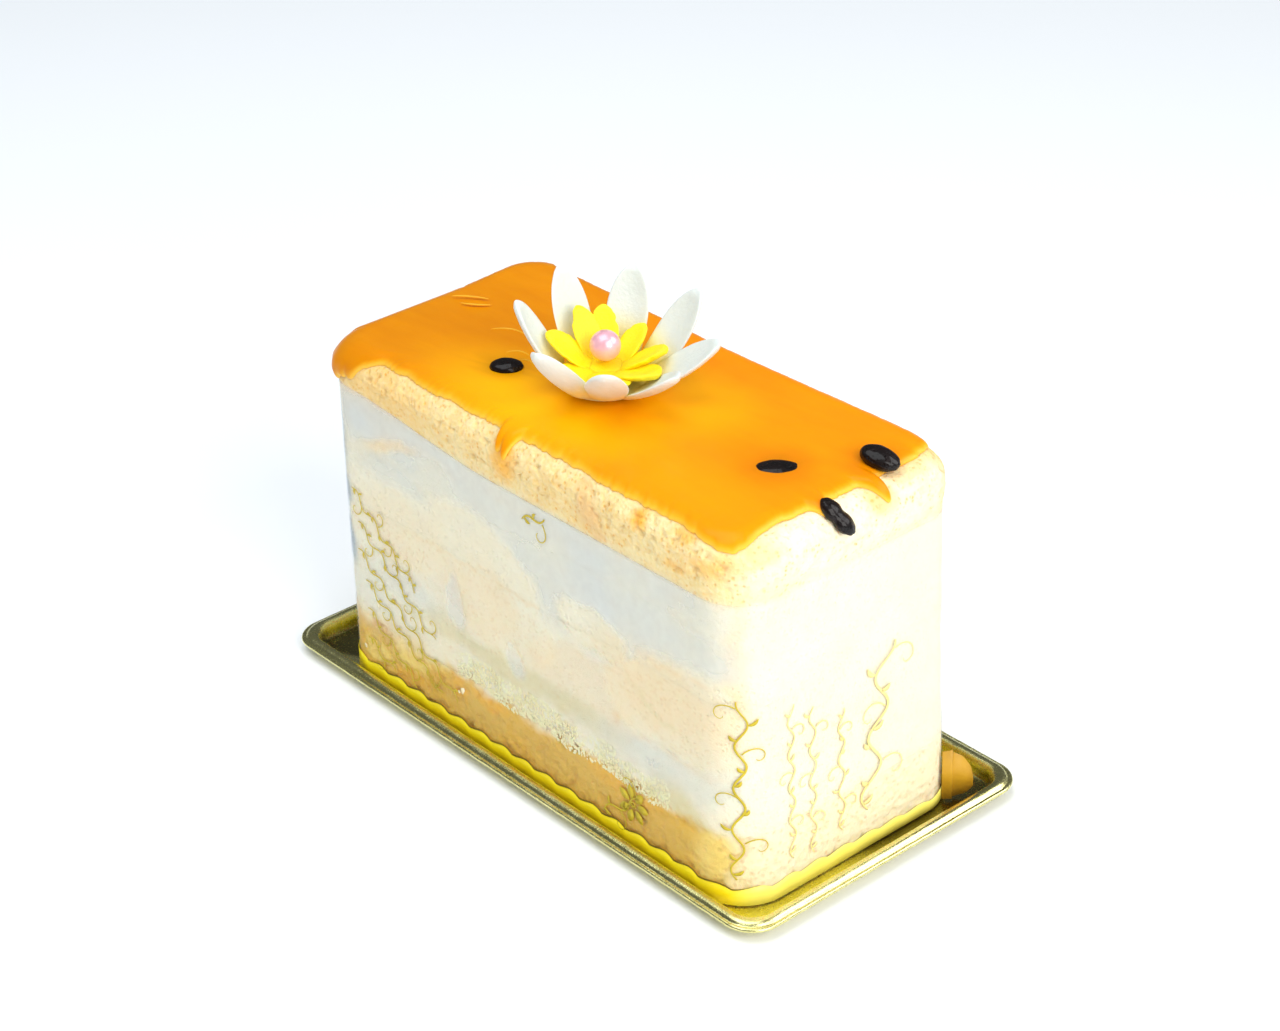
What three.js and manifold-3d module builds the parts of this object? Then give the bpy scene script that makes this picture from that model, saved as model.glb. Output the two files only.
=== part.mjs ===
// One portion of layered passion-fruit mousse cake. Two sponges and two mousses stand in a clear
// collar on their own shallow gold tray, under a poured jelly glaze with four seeds in it, a sugar
// flower and a sugar pearl.
// Millimetres, +Z up. +X runs along the cake and -Y is its long front. The origin is the middle of
// the tray's underside.

import * as THREE from "three";
import { mergeVertices } from "three/addons/utils/BufferGeometryUtils.js";
import Module from "manifold-3d";

const wasm = await Module();
wasm.setup();

// ---- Driving dimensions ----------------------------------------------------------------------
const GAP = 0.3; // clearance between pieces that touch

const TRAY_LENGTH = 108.6;
const TRAY_WIDTH = 55.2;
const TRAY_CORNER = 5;
const TRAY_FLOOR = 0.45; // thickness of the floor sheet

const CAKE_X = 1.6; // the cake stands a little off the tray's middle
const CAKE_Y = -1.8;
const CAKE_LENGTH = 92; // over the collar at its top edge
const CAKE_WIDTH = 42.8;
const CAKE_TOP = 58.2; // height of the glaze above the table
const FOOT_FLARE = 0.75; // each side stands out this much more at the foot
const BARE_SWELL = 0.7; // how far the bare mousse swells out over the collar
const GLAZED_SWELL = -0.2; // the same where the glaze laps over it
const SHOULDER = 3.6; // rounding of the mousse's top edge
const SHOULDER_CORNER = 8.3; // upright corner radius of the bare mousse

const COLLAR_FOOT = TRAY_FLOOR + GAP + 0.05;
const COLLAR_TOP = 48.7;
const COLLAR_RISE = 2.6; // the strip stands higher round the left end
const COLLAR_CORNER = 6.8;
const COLLAR_THICKNESS = 0.3;

const BASE_TOP = 12.2; // mean heights where one layer meets the next
const LOWER_MOUSSE_TOP = 18.8;
const MIDDLE_TOP = 32.2;

const GLAZE_THICKNESS = 0.9;
const MOUSSE_TOP = CAKE_TOP - GLAZE_THICKNESS - GAP;

const FLOWER_X = -1.9; // from the middle of the cake
const FLOWER_Y = -1.9;
const PEARL_RADIUS = 2.25;

const QUARTER_TURN = Math.PI / 2;

// ---- Small helpers ---------------------------------------------------------------------------

/** 0 below a, 1 above b and a smooth ramp between; a may be larger than b. */
function ramp(a, b, value) {
  const t = THREE.MathUtils.clamp((value - a) / (b - a), 0, 1);
  return t * t * (3 - 2 * t);
}

/** A smooth bump of height 1 at 0 that is gone at a distance of 1. */
function bump(distance) {
  return 1 - ramp(0, 1, Math.abs(distance));
}

/** Shares of a side's straight stretch at which stations stand, from its start. */
function evenStops(steps) {
  return Array.from({ length: steps }, (_, k) => k / steps);
}

/**
 * Stations round a rounded rectangle, anticlockwise from its front left. Each has a core, the place
 * of its corner centre as a share of the half sizes, and the direction it faces.
 */
function stationsRound({ front, right, back, left, corner }) {
  const sides = [
    { stops: front, from: [-1, -1], to: [1, -1], facing: -QUARTER_TURN },
    { stops: right, from: [1, -1], to: [1, 1], facing: 0 },
    { stops: back, from: [1, 1], to: [-1, 1], facing: QUARTER_TURN },
    { stops: left, from: [-1, 1], to: [-1, -1], facing: Math.PI },
  ];
  const stations = [];
  for (const side of sides) {
    const from = new THREE.Vector2(...side.from);
    const to = new THREE.Vector2(...side.to);
    for (const stop of side.stops) {
      stations.push({ core: from.clone().lerp(to, stop), facing: side.facing });
    }
    for (let k = 0; k < corner; k += 1) {
      stations.push({ core: to, facing: side.facing + (k / corner) * QUARTER_TURN });
    }
  }
  return stations;
}

/** Evenly spaced stations, with so many steps on a long side, a short side and a corner. */
function evenStations(long, short, corner) {
  const longStops = evenStops(long);
  const shortStops = evenStops(short);
  return stationsRound({
    front: longStops, right: shortStops, back: longStops, left: shortStops, corner,
  });
}

/** The station's point on a rounded rectangle of these half sizes, at height 0. */
function stationPoint(station, halfX, halfY, radius) {
  const x = station.core.x * (halfX - radius) + radius * Math.cos(station.facing);
  const y = station.core.y * (halfY - radius) + radius * Math.sin(station.facing);
  return new THREE.Vector3(x, y, 0);
}

/**
 * A closed skin over a row of rings that have the same number of points. The first and last rings
 * close onto their poles; without poles the last ring joins the first.
 */
function skin(rings, firstPole, lastPole) {
  const count = rings[0].length;
  const points = rings.flat();
  const faces = [];
  const bands = firstPole ? rings.length - 1 : rings.length;
  for (let i = 0; i < bands; i += 1) {
    const low = i * count;
    const high = ((i + 1) % rings.length) * count;
    for (let j = 0; j < count; j += 1) {
      const next = (j + 1) % count;
      faces.push(low + j, low + next, high + next, low + j, high + next, high + j);
    }
  }
  if (firstPole) {
    const first = points.push(firstPole) - 1;
    const last = points.push(lastPole) - 1;
    const top = (rings.length - 1) * count;
    for (let j = 0; j < count; j += 1) {
      const next = (j + 1) % count;
      faces.push(first, next, j, last, top + j, top + next);
    }
  }
  const geometry = new THREE.BufferGeometry().setFromPoints(points);
  geometry.setIndex(faces);
  return geometry;
}

/** A closed geometry as a solid that can be joined to others. */
function toSolid(geometry) {
  const bare = geometry.clone();
  bare.deleteAttribute("normal");
  bare.deleteAttribute("uv");
  const merged = mergeVertices(bare);
  return new wasm.Manifold(new wasm.Mesh({
    numProp: 3,
    vertProperties: new Float32Array(merged.attributes.position.array),
    triVerts: new Uint32Array(merged.index.array),
  }));
}

/** The geometry of a joined or cut solid. */
function toGeometry(solid) {
  const mesh = solid.getMesh();
  const geometry = new THREE.BufferGeometry();
  geometry.setAttribute("position", new THREE.BufferAttribute(mesh.vertProperties, 3));
  geometry.setIndex(new THREE.BufferAttribute(mesh.triVerts, 1));
  return geometry;
}

/** Several closed geometries joined into one. */
function join(geometries) {
  return toGeometry(geometries.map(toSolid).reduce((all, one) => all.add(one)));
}

/** A closed geometry less the space of another. */
function cut(geometry, tool) {
  return toGeometry(toSolid(geometry).subtract(toSolid(tool)));
}

const group = new THREE.Group();
const cake = new THREE.Group();
cake.position.set(CAKE_X, CAKE_Y, 0);
group.add(cake);

/** Names a geometry, gives it its own material and hangs it in its group. */
function addPart(parent, name, geometry, color, roughness, metalness = 0) {
  geometry.computeVertexNormals();
  const material = new THREE.MeshStandardMaterial({ color, roughness, metalness });
  const mesh = new THREE.Mesh(geometry, material);
  mesh.name = name;
  parent.add(mesh);
}

// ---- Tray ------------------------------------------------------------------------------------
// One pressed sheet. From the table its wall leans out to a rim with a narrow outer lip, a groove
// and a broad rounded bead, and falls again inside to the mirror floor.

const TRAY_SECTION = [ // [distance in from the outer edge, height], up the outside and down inside
  [3.4, 0], [3.0, 0.12], [2.65, 0.7], [2.3, 1.5], [1.9, 2.1], [1.4, 2.25], [0.9, 1.85],
  [0.3, 1.75], [0, 2.0], [0.1, 2.3], [0.4, 2.42], [0.6, 2.36], [0.95, 2.72], [1.45, 2.92],
  [1.95, 2.88], [2.35, 2.6], [2.65, 2.0], [2.95, 1.1], [3.25, 0.6], [3.6, TRAY_FLOOR],
];

function trayGeometry() {
  const stations = evenStations(6, 3, 7);
  const rings = TRAY_SECTION.map(([inset, height]) => stations.map((station) => {
    const radius = Math.max(TRAY_CORNER - 0.6 * inset, 2);
    const point = stationPoint(station, TRAY_LENGTH / 2 - inset, TRAY_WIDTH / 2 - inset, radius);
    return point.setZ(height);
  }));
  return skin(rings, new THREE.Vector3(0, 0, 0), new THREE.Vector3(0, 0, TRAY_FLOOR));
}

addPart(group, "tray", trayGeometry(), 0xb9a64a, 0.3, 1);

// ---- Collar ----------------------------------------------------------------------------------
// A strip of clear film wrapped round the cake, drawn as one closed band.

/** How much further out a side stands at this height than at the collar's top. */
function flareAt(height) {
  return FOOT_FLARE * (1 - THREE.MathUtils.clamp(height / COLLAR_TOP, 0, 1));
}

/** Height of the strip's top edge, which climbs towards the left end. */
function collarTopAt(x) {
  return COLLAR_TOP + COLLAR_RISE * ramp(-6, -CAKE_LENGTH / 2, x);
}

function collarGeometry() {
  const stations = evenStations(9, 4, 5);
  const levels = [0, 0.5, 1];
  const wall = (share, inset) => stations.map((station) => {
    const x = station.core.x * CAKE_LENGTH / 2;
    const height = THREE.MathUtils.lerp(COLLAR_FOOT, collarTopAt(x), share);
    const out = flareAt(height) - inset;
    const radius = COLLAR_CORNER + out;
    const point = stationPoint(station, CAKE_LENGTH / 2 + out, CAKE_WIDTH / 2 + out, radius);
    return point.setZ(height);
  });
  const outside = levels.map((share) => wall(share, 0));
  const inside = levels.map((share) => wall(1 - share, COLLAR_THICKNESS));
  return skin([...outside, ...inside]);
}

addPart(cake, "film_collar", collarGeometry(), 0xdfe6e8, 0.1);

// ---- Layers ----------------------------------------------------------------------------------

/** The three seams between layers: wavy sheets right through the cake. */
const seams = {
  base: (x, y) => BASE_TOP + 0.5 * Math.sin(x / 9 + 0.6) + 0.35 * Math.sin(y / 6 - x / 17),
  lower: (x, y) => LOWER_MOUSSE_TOP - 0.8 * Math.sin(x / 19) + 0.4 * Math.sin(y / 8 + 1),
  middle: (x, y) => MIDDLE_TOP + 0.7 * ramp(10, 40, x) + 0.35 * Math.sin(x / 7 + y / 11),
};

/** A ring inside the collar at the height that a seam has there. */
function layerRing(stations, seam, shift, share) {
  return stations.map((station) => {
    const reach = -COLLAR_THICKNESS - GAP;
    const outer = stationPoint(
      station, CAKE_LENGTH / 2 + reach, CAKE_WIDTH / 2 + reach, COLLAR_CORNER + reach);
    const height = seam(outer.x * share, outer.y * share) + shift;
    const out = reach + flareAt(height);
    const point = stationPoint(
      station, CAKE_LENGTH / 2 + out, CAKE_WIDTH / 2 + out, COLLAR_CORNER + out);
    return point.multiplyScalar(share).setZ(height);
  });
}

const LAYER_STATIONS = evenStations(12, 6, 4);
const CAP_SHARES = [0.35, 0.7];

/** A layer between two seams, each half a gap away from its neighbour. */
function layerGeometry(lowSeam, highSeam) {
  const low = [...CAP_SHARES, 1];
  const rings = [
    ...low.map((share) => layerRing(LAYER_STATIONS, lowSeam, GAP / 2, share)),
    ...low.reverse().map((share) => layerRing(LAYER_STATIONS, highSeam, -GAP / 2, share)),
  ];
  const lowPole = new THREE.Vector3(0, 0, lowSeam(0, 0) + GAP / 2);
  const highPole = new THREE.Vector3(0, 0, highSeam(0, 0) - GAP / 2);
  return skin(rings, lowPole, highPole);
}

const cakeFoot = () => TRAY_FLOOR + GAP / 2;
addPart(cake, "sponge_base", layerGeometry(cakeFoot, seams.base), 0xe0b878, 0.9);
addPart(cake, "mousse_lower", layerGeometry(seams.base, seams.lower), 0xe4dcb8, 0.7);
addPart(cake, "sponge_middle", layerGeometry(seams.lower, seams.middle), 0xe8d6b0, 0.9);

// ---- Upper mousse ----------------------------------------------------------------------------
// Its lower part is behind the collar. Above the strip it swells out and rounds over to the top.

/** Height of the top of the mousse: level, but sunk a little at the left end and along the back. */
function mousseTopAt(x, y) {
  const leftSag = 0.5 * ramp(-24, -44, x) * ramp(16, 2, y);
  const backSag = 0.5 * ramp(4, 18, y) * bump(x / 42);
  return MOUSSE_TOP - leftSag - backSag;
}

/** How far the mousse's side stands out over the collar: it swells where the glaze leaves it bare. */
function swellAt(station) {
  const bareSide = ramp(0, 0.6, Math.max(-Math.sin(station.facing), Math.cos(station.facing)));
  const bare = bareSide * ramp(-0.95, -0.75, station.core.x);
  return THREE.MathUtils.lerp(GLAZED_SWELL, BARE_SWELL, bare);
}

/**
 * A point of the bare mousse's skin. Travel is measured outward from where the shoulder starts:
 * below 0 it lies on the flat top, then it goes round the shoulder and down the side. Lift is the
 * distance above the skin.
 */
function shoulderPoint(station, travel, lift) {
  const bend = THREE.MathUtils.clamp(travel / SHOULDER, 0, QUARTER_TURN);
  const below = Math.max(travel - SHOULDER * QUARTER_TURN, 0);
  const flat = Math.min(travel, 0);
  const inset = SHOULDER - flat - (SHOULDER + lift) * Math.sin(bend);
  const out = swellAt(station) - inset;
  const radius = SHOULDER_CORNER - 0.5 * Math.max(inset, 0);
  const point = stationPoint(station, CAKE_LENGTH / 2 + out, CAKE_WIDTH / 2 + out, radius);
  const drop = SHOULDER - (SHOULDER + lift) * Math.cos(bend) + below;
  return point.setZ(mousseTopAt(point.x, point.y) - drop);
}

/** The mousse, or with a growth the room that it and a gap around its shoulder take up. */
function upperMousseGeometry(growth = 0) {
  const stations = LAYER_STATIONS;
  const reach = -COLLAR_THICKNESS - GAP;
  const sideRing = (clearance, swell) => stations.map((station) => {
    const height = collarTopAt(station.core.x * CAKE_LENGTH / 2) + clearance;
    const out = THREE.MathUtils.lerp(reach, swellAt(station), swell) + growth;
    const radius = THREE.MathUtils.lerp(COLLAR_CORNER, SHOULDER_CORNER, swell) + reach;
    const point = stationPoint(station, CAKE_LENGTH / 2 + out, CAKE_WIDTH / 2 + out, radius);
    return point.setZ(height);
  });
  const shoulderRing = (share) => stations.map((station) => (
    shoulderPoint(station, SHOULDER * QUARTER_TURN * share, growth)));
  const topRing = (share) => stations.map((station) => {
    const point = shoulderPoint(station, 0, 0);
    const x = point.x * share;
    const y = point.y * share;
    return new THREE.Vector3(x, y, mousseTopAt(x, y) + growth);
  });
  const rings = [
    ...[...CAP_SHARES, 1].map((share) => layerRing(stations, seams.middle, GAP / 2, share)),
    sideRing(0, 0),
    sideRing(0.5, 0.25),
    sideRing(1.4, 0.9),
    ...[1, 0.75, 0.5, 0.25, 0].map(shoulderRing),
    topRing(0.7),
    topRing(0.35),
  ];
  const lowPole = new THREE.Vector3(0, 0, seams.middle(0, 0) + GAP / 2);
  return skin(rings, lowPole, new THREE.Vector3(0, 0, mousseTopAt(0, 0) + growth));
}

addPart(cake, "mousse_upper", upperMousseGeometry(), 0xf2e6c4, 0.7);

// ---- Glaze -----------------------------------------------------------------------------------
// A poured jelly sheet over the top. Its edge stops short on the right, laps over the shoulder
// elsewhere, runs down over the front left corner and makes a few drips.

const EDGE_BY_SIDE = { front: 1.5, right: -0.3, back: 2.4, left: 3 }; // travel round the shoulder
// A drip has the place of its middle along the side, half its width and how much further it runs.
const FRONT_DRIPS = [
  { middle: -40, half: 2.2, run: 1.3 },
  { middle: -35.5, half: 1.8, run: 1.6 },
  { middle: -1.8, half: 2.4, run: 4.8 },
  { middle: 33.5, half: 2.1, run: 2.2 },
];
const RIGHT_DRIPS = [
  { middle: -3.2, half: 2.6, run: 4.4 }, // a tongue that holds the seed hanging over the edge
  { middle: 5.2, half: 2.6, run: 4 },
];
const LEFT_CORNER_RUN = 4.2; // how much further the sheet runs over the front left corner
const RIGHT_CORNER_RUN = 1.6; // and over the front right corner

/** Travel at which the glaze ends at a station. */
function glazeEdgeAt(station) {
  const facingX = Math.cos(station.facing);
  const facingY = Math.sin(station.facing);
  const base = EDGE_BY_SIDE.front * Math.max(-facingY, 0) ** 2
    + EDGE_BY_SIDE.right * Math.max(facingX, 0) ** 2
    + EDGE_BY_SIDE.back * Math.max(facingY, 0) ** 2
    + EDGE_BY_SIDE.left * Math.max(-facingX, 0) ** 2;
  const { x, y } = shoulderPoint(station, 0, 0);
  const frontness = Math.max(-facingY, 0);
  const rightness = ramp(0.5, 1, facingX);
  const corner = LEFT_CORNER_RUN * ramp(-31, -38, x) * ramp(6, -10, y)
    + RIGHT_CORNER_RUN * ramp(35, 41, x) * ramp(-12, -17, y);
  const runAt = (drips, place) => Math.max(
    ...drips.map((drip) => drip.run * bump((place - drip.middle) / drip.half)));
  const drip = runAt(FRONT_DRIPS, x) * frontness + runAt(RIGHT_DRIPS, y) * rightness;
  return base + corner + drip;
}

/** Thickness of the glaze: it thins round the shoulder and towards its rounded edge. */
function glazeThicknessAt(travel, edge) {
  const edgeRounding = 1.6;
  const share = THREE.MathUtils.clamp((edge - travel) / edgeRounding, 0, 1);
  const rounding = 0.25 + 0.75 * Math.sqrt(1 - (1 - share) ** 2);
  return GLAZE_THICKNESS * rounding * (1 - 0.35 * ramp(0, 4, travel));
}

/** Stops along a straight stretch of this half length: even ones and five across each drip. */
function stopsWithDrips(steps, halfStretch, drips) {
  const across = drips.flatMap(({ middle, half }) => (
    [-1, -0.5, 0, 0.5, 1].map((side) => 0.5 + (middle + side * half) / (2 * halfStretch))));
  const inside = across.filter((stop) => stop > 0.02 && stop < 0.98);
  const even = evenStops(steps).filter((stop) => (
    inside.every((other) => Math.abs(other - stop) > 0.4 / steps)));
  return [...even, ...inside].sort((a, b) => a - b);
}

function glazeSheetGeometry() {
  const halfFront = CAKE_LENGTH / 2 - SHOULDER_CORNER;
  const halfRight = CAKE_WIDTH / 2 - SHOULDER_CORNER;
  const stations = stationsRound({
    front: stopsWithDrips(22, halfFront, FRONT_DRIPS),
    right: stopsWithDrips(6, halfRight, RIGHT_DRIPS),
    back: evenStops(12),
    left: evenStops(6),
    corner: 6,
  });
  const edge = stations.map(glazeEdgeAt);
  const flatRing = (share, lift) => stations.map((station) => {
    const start = shoulderPoint(station, Math.min(glazeEdgeAt(station) - 2, 0), 0);
    const x = start.x * share;
    const y = start.y * share;
    return new THREE.Vector3(x, y, mousseTopAt(x, y) + lift);
  });
  const edgeRing = (share, onTop) => stations.map((station, k) => {
    const start = Math.min(edge[k] - 2, 0);
    const travel = THREE.MathUtils.lerp(start, edge[k], share);
    const thickness = onTop ? glazeThicknessAt(travel, edge[k]) : 0;
    return shoulderPoint(station, travel, GAP + thickness);
  });
  const under = [flatRing(0.5, GAP), ...[0, 0.35, 0.7, 1].map((share) => edgeRing(share, false))];
  const over = [
    ...[1, 0.85, 0.6, 0.3, 0].map((share) => edgeRing(share, true)),
    flatRing(0.5, GAP + GLAZE_THICKNESS),
  ];
  const lowPole = new THREE.Vector3(0, 0, mousseTopAt(0, 0) + GAP);
  const highPole = lowPole.clone().setZ(lowPole.z + GLAZE_THICKNESS);
  return skin([...under, ...over], lowPole, highPole);
}

/** A flat oval seed. The turn is about +Z, and the lean tips its long axis down. */
function seedGeometry({ x, y, z, length, width, thickness, turn, lean }) {
  const geometry = new THREE.SphereGeometry(0.5, 8, 6);
  geometry.rotateX(QUARTER_TURN);
  geometry.scale(length, width, thickness);
  const pose = new THREE.Euler(0, THREE.MathUtils.degToRad(lean), THREE.MathUtils.degToRad(turn), "ZYX");
  geometry.applyMatrix4(new THREE.Matrix4().makeRotationFromEuler(pose));
  geometry.translate(x, y, z);
  return geometry;
}

const SEEDS = [ // from the middle of the cake; lean 0 lies flat
  { x: -16.4, y: -8.7, z: CAKE_TOP + 0.1, length: 5, width: 4, thickness: 2.2, turn: 40, lean: 0 },
  { x: 32.7, y: -1.3, z: CAKE_TOP - 0.4, length: 5.8, width: 4, thickness: 1.8, turn: 45, lean: 0 },
  { x: 41.4, y: 9.6, z: CAKE_TOP + 0.5, length: 6, width: 4.2, thickness: 2.8, turn: 15, lean: 12 },
  { x: 45.8, y: -2.7, z: CAKE_TOP - 1.9, length: 6.4, width: 3.6, thickness: 2.4, turn: 30, lean: 46 },
];

const glazeAndSeeds = join([glazeSheetGeometry(), ...SEEDS.map(seedGeometry)]);
addPart(cake, "glaze", cut(glazeAndSeeds, upperMousseGeometry(0.7 * GAP)), 0xf5a500, 0.15);

// ---- Sugar flower ----------------------------------------------------------------------------
// Eight white petals bend up from a disc on the glaze, and eight short yellow ones from a boss on
// top of it. Each petal is its own length and leans its own way.

const LAP = 0.13; // every other petal lies this much higher, over its neighbours' roots

/** Width of a petal along its length, as a share of its full width. */
function petalShape(along, rootShare) {
  const widest = 0.56;
  if (along < widest) {
    return THREE.MathUtils.lerp(rootShare, 1, ramp(0, widest, along));
  }
  return (1 - ((along - widest) / (1 - widest)) ** 2.2) ** 0.62;
}

/**
 * A cupped petal that leaves its disc level at the root radius and bends up at the ring radius.
 * Direction, tilt and twist are in degrees; length is measured from the ring to the tip. The place
 * is its number round the flower.
 */
function petalGeometry(style, { direction, length, tilt, twist = 0, cup = style.cup }, place) {
  const steps = style.steps;
  const total = style.ring - style.root + length;
  const across = new THREE.Vector3(0, 1, 0);
  const centre = new THREE.Vector3(style.root, 0, style.height + LAP * (place % 2));
  const rings = [];
  let firstPole;
  for (let i = 0; i <= steps; i += 1) {
    const along = i / steps;
    const bend = ramp(style.ring - style.root - 1.2, style.ring - style.root + 2, along * total);
    const pitch = bend * (tilt - style.curl / 2) + along * along * style.curl;
    const angle = THREE.MathUtils.degToRad(pitch);
    const forward = new THREE.Vector3(Math.cos(angle), 0, Math.sin(angle));
    const roll = THREE.MathUtils.degToRad(twist * bend);
    const side = across.clone().applyAxisAngle(forward, roll);
    const inward = new THREE.Vector3(-Math.sin(angle), 0, Math.cos(angle)).applyAxisAngle(forward, roll);
    if (i > 0) {
      centre.addScaledVector(forward, total / steps);
    } else {
      firstPole = centre.clone();
    }
    if (i === steps) {
      break;
    }
    const half = (style.width / 2) * petalShape(along, style.rootShare);
    const ring = [];
    for (const face of [-1, 1]) {
      for (let k = 0; k < style.across; k += 1) {
        const v = face * (1 - (2 * k) / style.across);
        const raise = cup * v * v * bend * (half / style.width);
        const thickness = face * (style.thickness / 2) * (1 - v * v) ** 0.5;
        ring.push(centre.clone()
          .addScaledVector(side, v * half)
          .addScaledVector(inward, raise + thickness));
      }
    }
    rings.push(ring);
  }
  const geometry = skin(rings, firstPole, centre);
  geometry.rotateZ(THREE.MathUtils.degToRad(direction));
  return geometry;
}

/** A disc with a rounded edge: its half section spun about the flower's axis. */
function bossGeometry(section) {
  const points = section.map(([radius, height]) => new THREE.Vector2(radius, height));
  const geometry = new THREE.LatheGeometry(points, 24);
  return geometry.rotateX(QUARTER_TURN);
}

const DISC_FOOT = CAKE_TOP + GAP;
const DISC_HEIGHT = 1.2;
const DISC_TOP = DISC_FOOT + DISC_HEIGHT;
const WHITE_PETAL = {
  root: 2.8, ring: 6.2, height: DISC_FOOT + 0.57, width: 6.7, rootShare: 0.8, thickness: 1.1,
  cup: 2.4, curl: 20, steps: 9, across: 4,
};
const WHITE_PETALS = [
  { direction: 173, length: 14.8, tilt: 72 },
  { direction: 118, length: 14, tilt: 66, twist: -4 },
  { direction: 62, length: 14.5, tilt: 59, twist: 20 },
  { direction: 27, length: 14.2, tilt: 38, twist: 24 },
  { direction: 356, length: 12.9, tilt: 34, twist: 12 },
  { direction: 320, length: 13.6, tilt: 42, twist: -5, cup: 1 },
  { direction: 283, length: 14.4, tilt: 50, twist: 4 },
  { direction: 226, length: 13.8, tilt: 65, twist: -8 },
];
const WHITE_DISC = [
  [0, DISC_FOOT], [5.5, DISC_FOOT], [6.15, DISC_FOOT + 0.53], [5.6, DISC_FOOT + 1.02],
  [4, DISC_TOP], [0, DISC_TOP],
];

const BOSS_FOOT = DISC_TOP + GAP;
const YELLOW_PETAL = {
  root: 0.9, ring: 2.2, height: BOSS_FOOT + 0.75, width: 4.2, rootShare: 0.5, thickness: 1.1,
  cup: 1.4, curl: 12, steps: 7, across: 4,
};
const YELLOW_PETALS = [
  { direction: 173, length: 8.8, tilt: 58 },
  { direction: 141, length: 8.5, tilt: 50, twist: -10 },
  { direction: 88, length: 7, tilt: 45 },
  { direction: 38, length: 7.8, tilt: 30 },
  { direction: 6, length: 8.6, tilt: 26 },
  { direction: 318, length: 8, tilt: 30 },
  { direction: 264, length: 7.8, tilt: 42, twist: -8 },
  { direction: 220, length: 8.6, tilt: 53, twist: -8 },
];
const BOSS_TOP = BOSS_FOOT + 1.9;
const YELLOW_BOSS = [
  [0, BOSS_FOOT], [2.3, BOSS_FOOT], [2.7, BOSS_FOOT + 0.6], [2.2, BOSS_FOOT + 1.5], [0, BOSS_TOP],
];

const flower = new THREE.Group();
flower.position.set(FLOWER_X, FLOWER_Y, 0);
cake.add(flower);

const whiteFlower = join([
  bossGeometry(WHITE_DISC),
  ...WHITE_PETALS.map((petal, place) => petalGeometry(WHITE_PETAL, petal, place)),
]);
const yellowFlower = join([
  bossGeometry(YELLOW_BOSS),
  ...YELLOW_PETALS.map((petal, place) => petalGeometry(YELLOW_PETAL, petal, place)),
]);
addPart(flower, "flower_outer", whiteFlower, 0xf3f4ef, 0.55);
addPart(flower, "flower_inner", yellowFlower, 0xffe31a, 0.6);

const pearl = new THREE.SphereGeometry(PEARL_RADIUS, 16, 10);
pearl.rotateX(QUARTER_TURN);
pearl.translate(0, 0, BOSS_TOP + GAP + PEARL_RADIUS);
addPart(flower, "pearl", pearl, 0xf0a8b8, 0.2);

export default group;
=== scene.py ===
# %% [markdown]
# # One portion of passion-fruit mousse cake
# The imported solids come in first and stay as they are. They are the plan: each piece made below
# takes a solid's place, at the same spot and size, and adds what a camera sees. Blender works in
# metres, a pastry chef in millimetres, so every length is written in millimetres and scaled once.

# %% Load the frame
import math
import random

import bpy
import numpy as np
from mathutils import Matrix, Vector, noise


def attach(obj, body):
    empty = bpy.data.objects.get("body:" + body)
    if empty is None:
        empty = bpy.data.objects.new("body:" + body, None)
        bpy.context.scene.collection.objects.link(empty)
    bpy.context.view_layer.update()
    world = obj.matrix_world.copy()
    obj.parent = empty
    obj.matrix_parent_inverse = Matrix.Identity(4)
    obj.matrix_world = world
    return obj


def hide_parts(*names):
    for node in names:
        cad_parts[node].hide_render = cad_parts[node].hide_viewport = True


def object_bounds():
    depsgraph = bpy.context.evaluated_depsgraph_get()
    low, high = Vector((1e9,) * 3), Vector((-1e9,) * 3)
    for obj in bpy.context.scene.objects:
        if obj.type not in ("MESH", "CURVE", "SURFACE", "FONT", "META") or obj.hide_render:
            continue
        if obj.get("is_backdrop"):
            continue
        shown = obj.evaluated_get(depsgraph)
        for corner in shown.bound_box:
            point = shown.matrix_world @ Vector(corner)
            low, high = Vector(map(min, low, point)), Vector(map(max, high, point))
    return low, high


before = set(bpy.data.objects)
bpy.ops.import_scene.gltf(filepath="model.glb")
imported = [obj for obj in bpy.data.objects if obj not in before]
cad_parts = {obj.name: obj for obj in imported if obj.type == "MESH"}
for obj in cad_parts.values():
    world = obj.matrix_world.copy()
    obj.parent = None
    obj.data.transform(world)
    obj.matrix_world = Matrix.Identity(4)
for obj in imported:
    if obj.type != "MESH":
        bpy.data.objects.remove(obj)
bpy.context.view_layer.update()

MM = 0.001
print("solids:", sorted(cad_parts))

# %% [markdown]
# ## Real sizes
# These are the same sizes that the solids were worked out from. Writing them once at the top means
# that a layer, the film round it and the print on the film all follow when one of them changes.

# %% Sizes of the cake, its film and its tray
CAKE_X, CAKE_Y = 1.6, -1.8
CAKE_LENGTH, CAKE_WIDTH, CAKE_TOP = 92, 42.8, 58.2
FOOT_FLARE = 0.75
BARE_SWELL, GLAZED_SWELL = 0.7, -0.2
SHOULDER, SHOULDER_CORNER = 3.6, 8.3
FILM_FOOT, FILM_TOP, FILM_RISE = 0.8, 48.7, 2.6
FILM_CORNER, FILM_THICKNESS = 6.8, 0.08
CAKE_FOOT, BASE_TOP, LOWER_MOUSSE_TOP, MIDDLE_TOP = 0.6, 12.2, 18.8, 32.2
GAP, GLAZE_THICKNESS = 0.3, 0.9
MOUSSE_TOP = CAKE_TOP - GLAZE_THICKNESS - GAP
FLOWER_X, FLOWER_Y = CAKE_X - 1.9, CAKE_Y - 1.9
PEARL_RADIUS = 2.25

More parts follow.
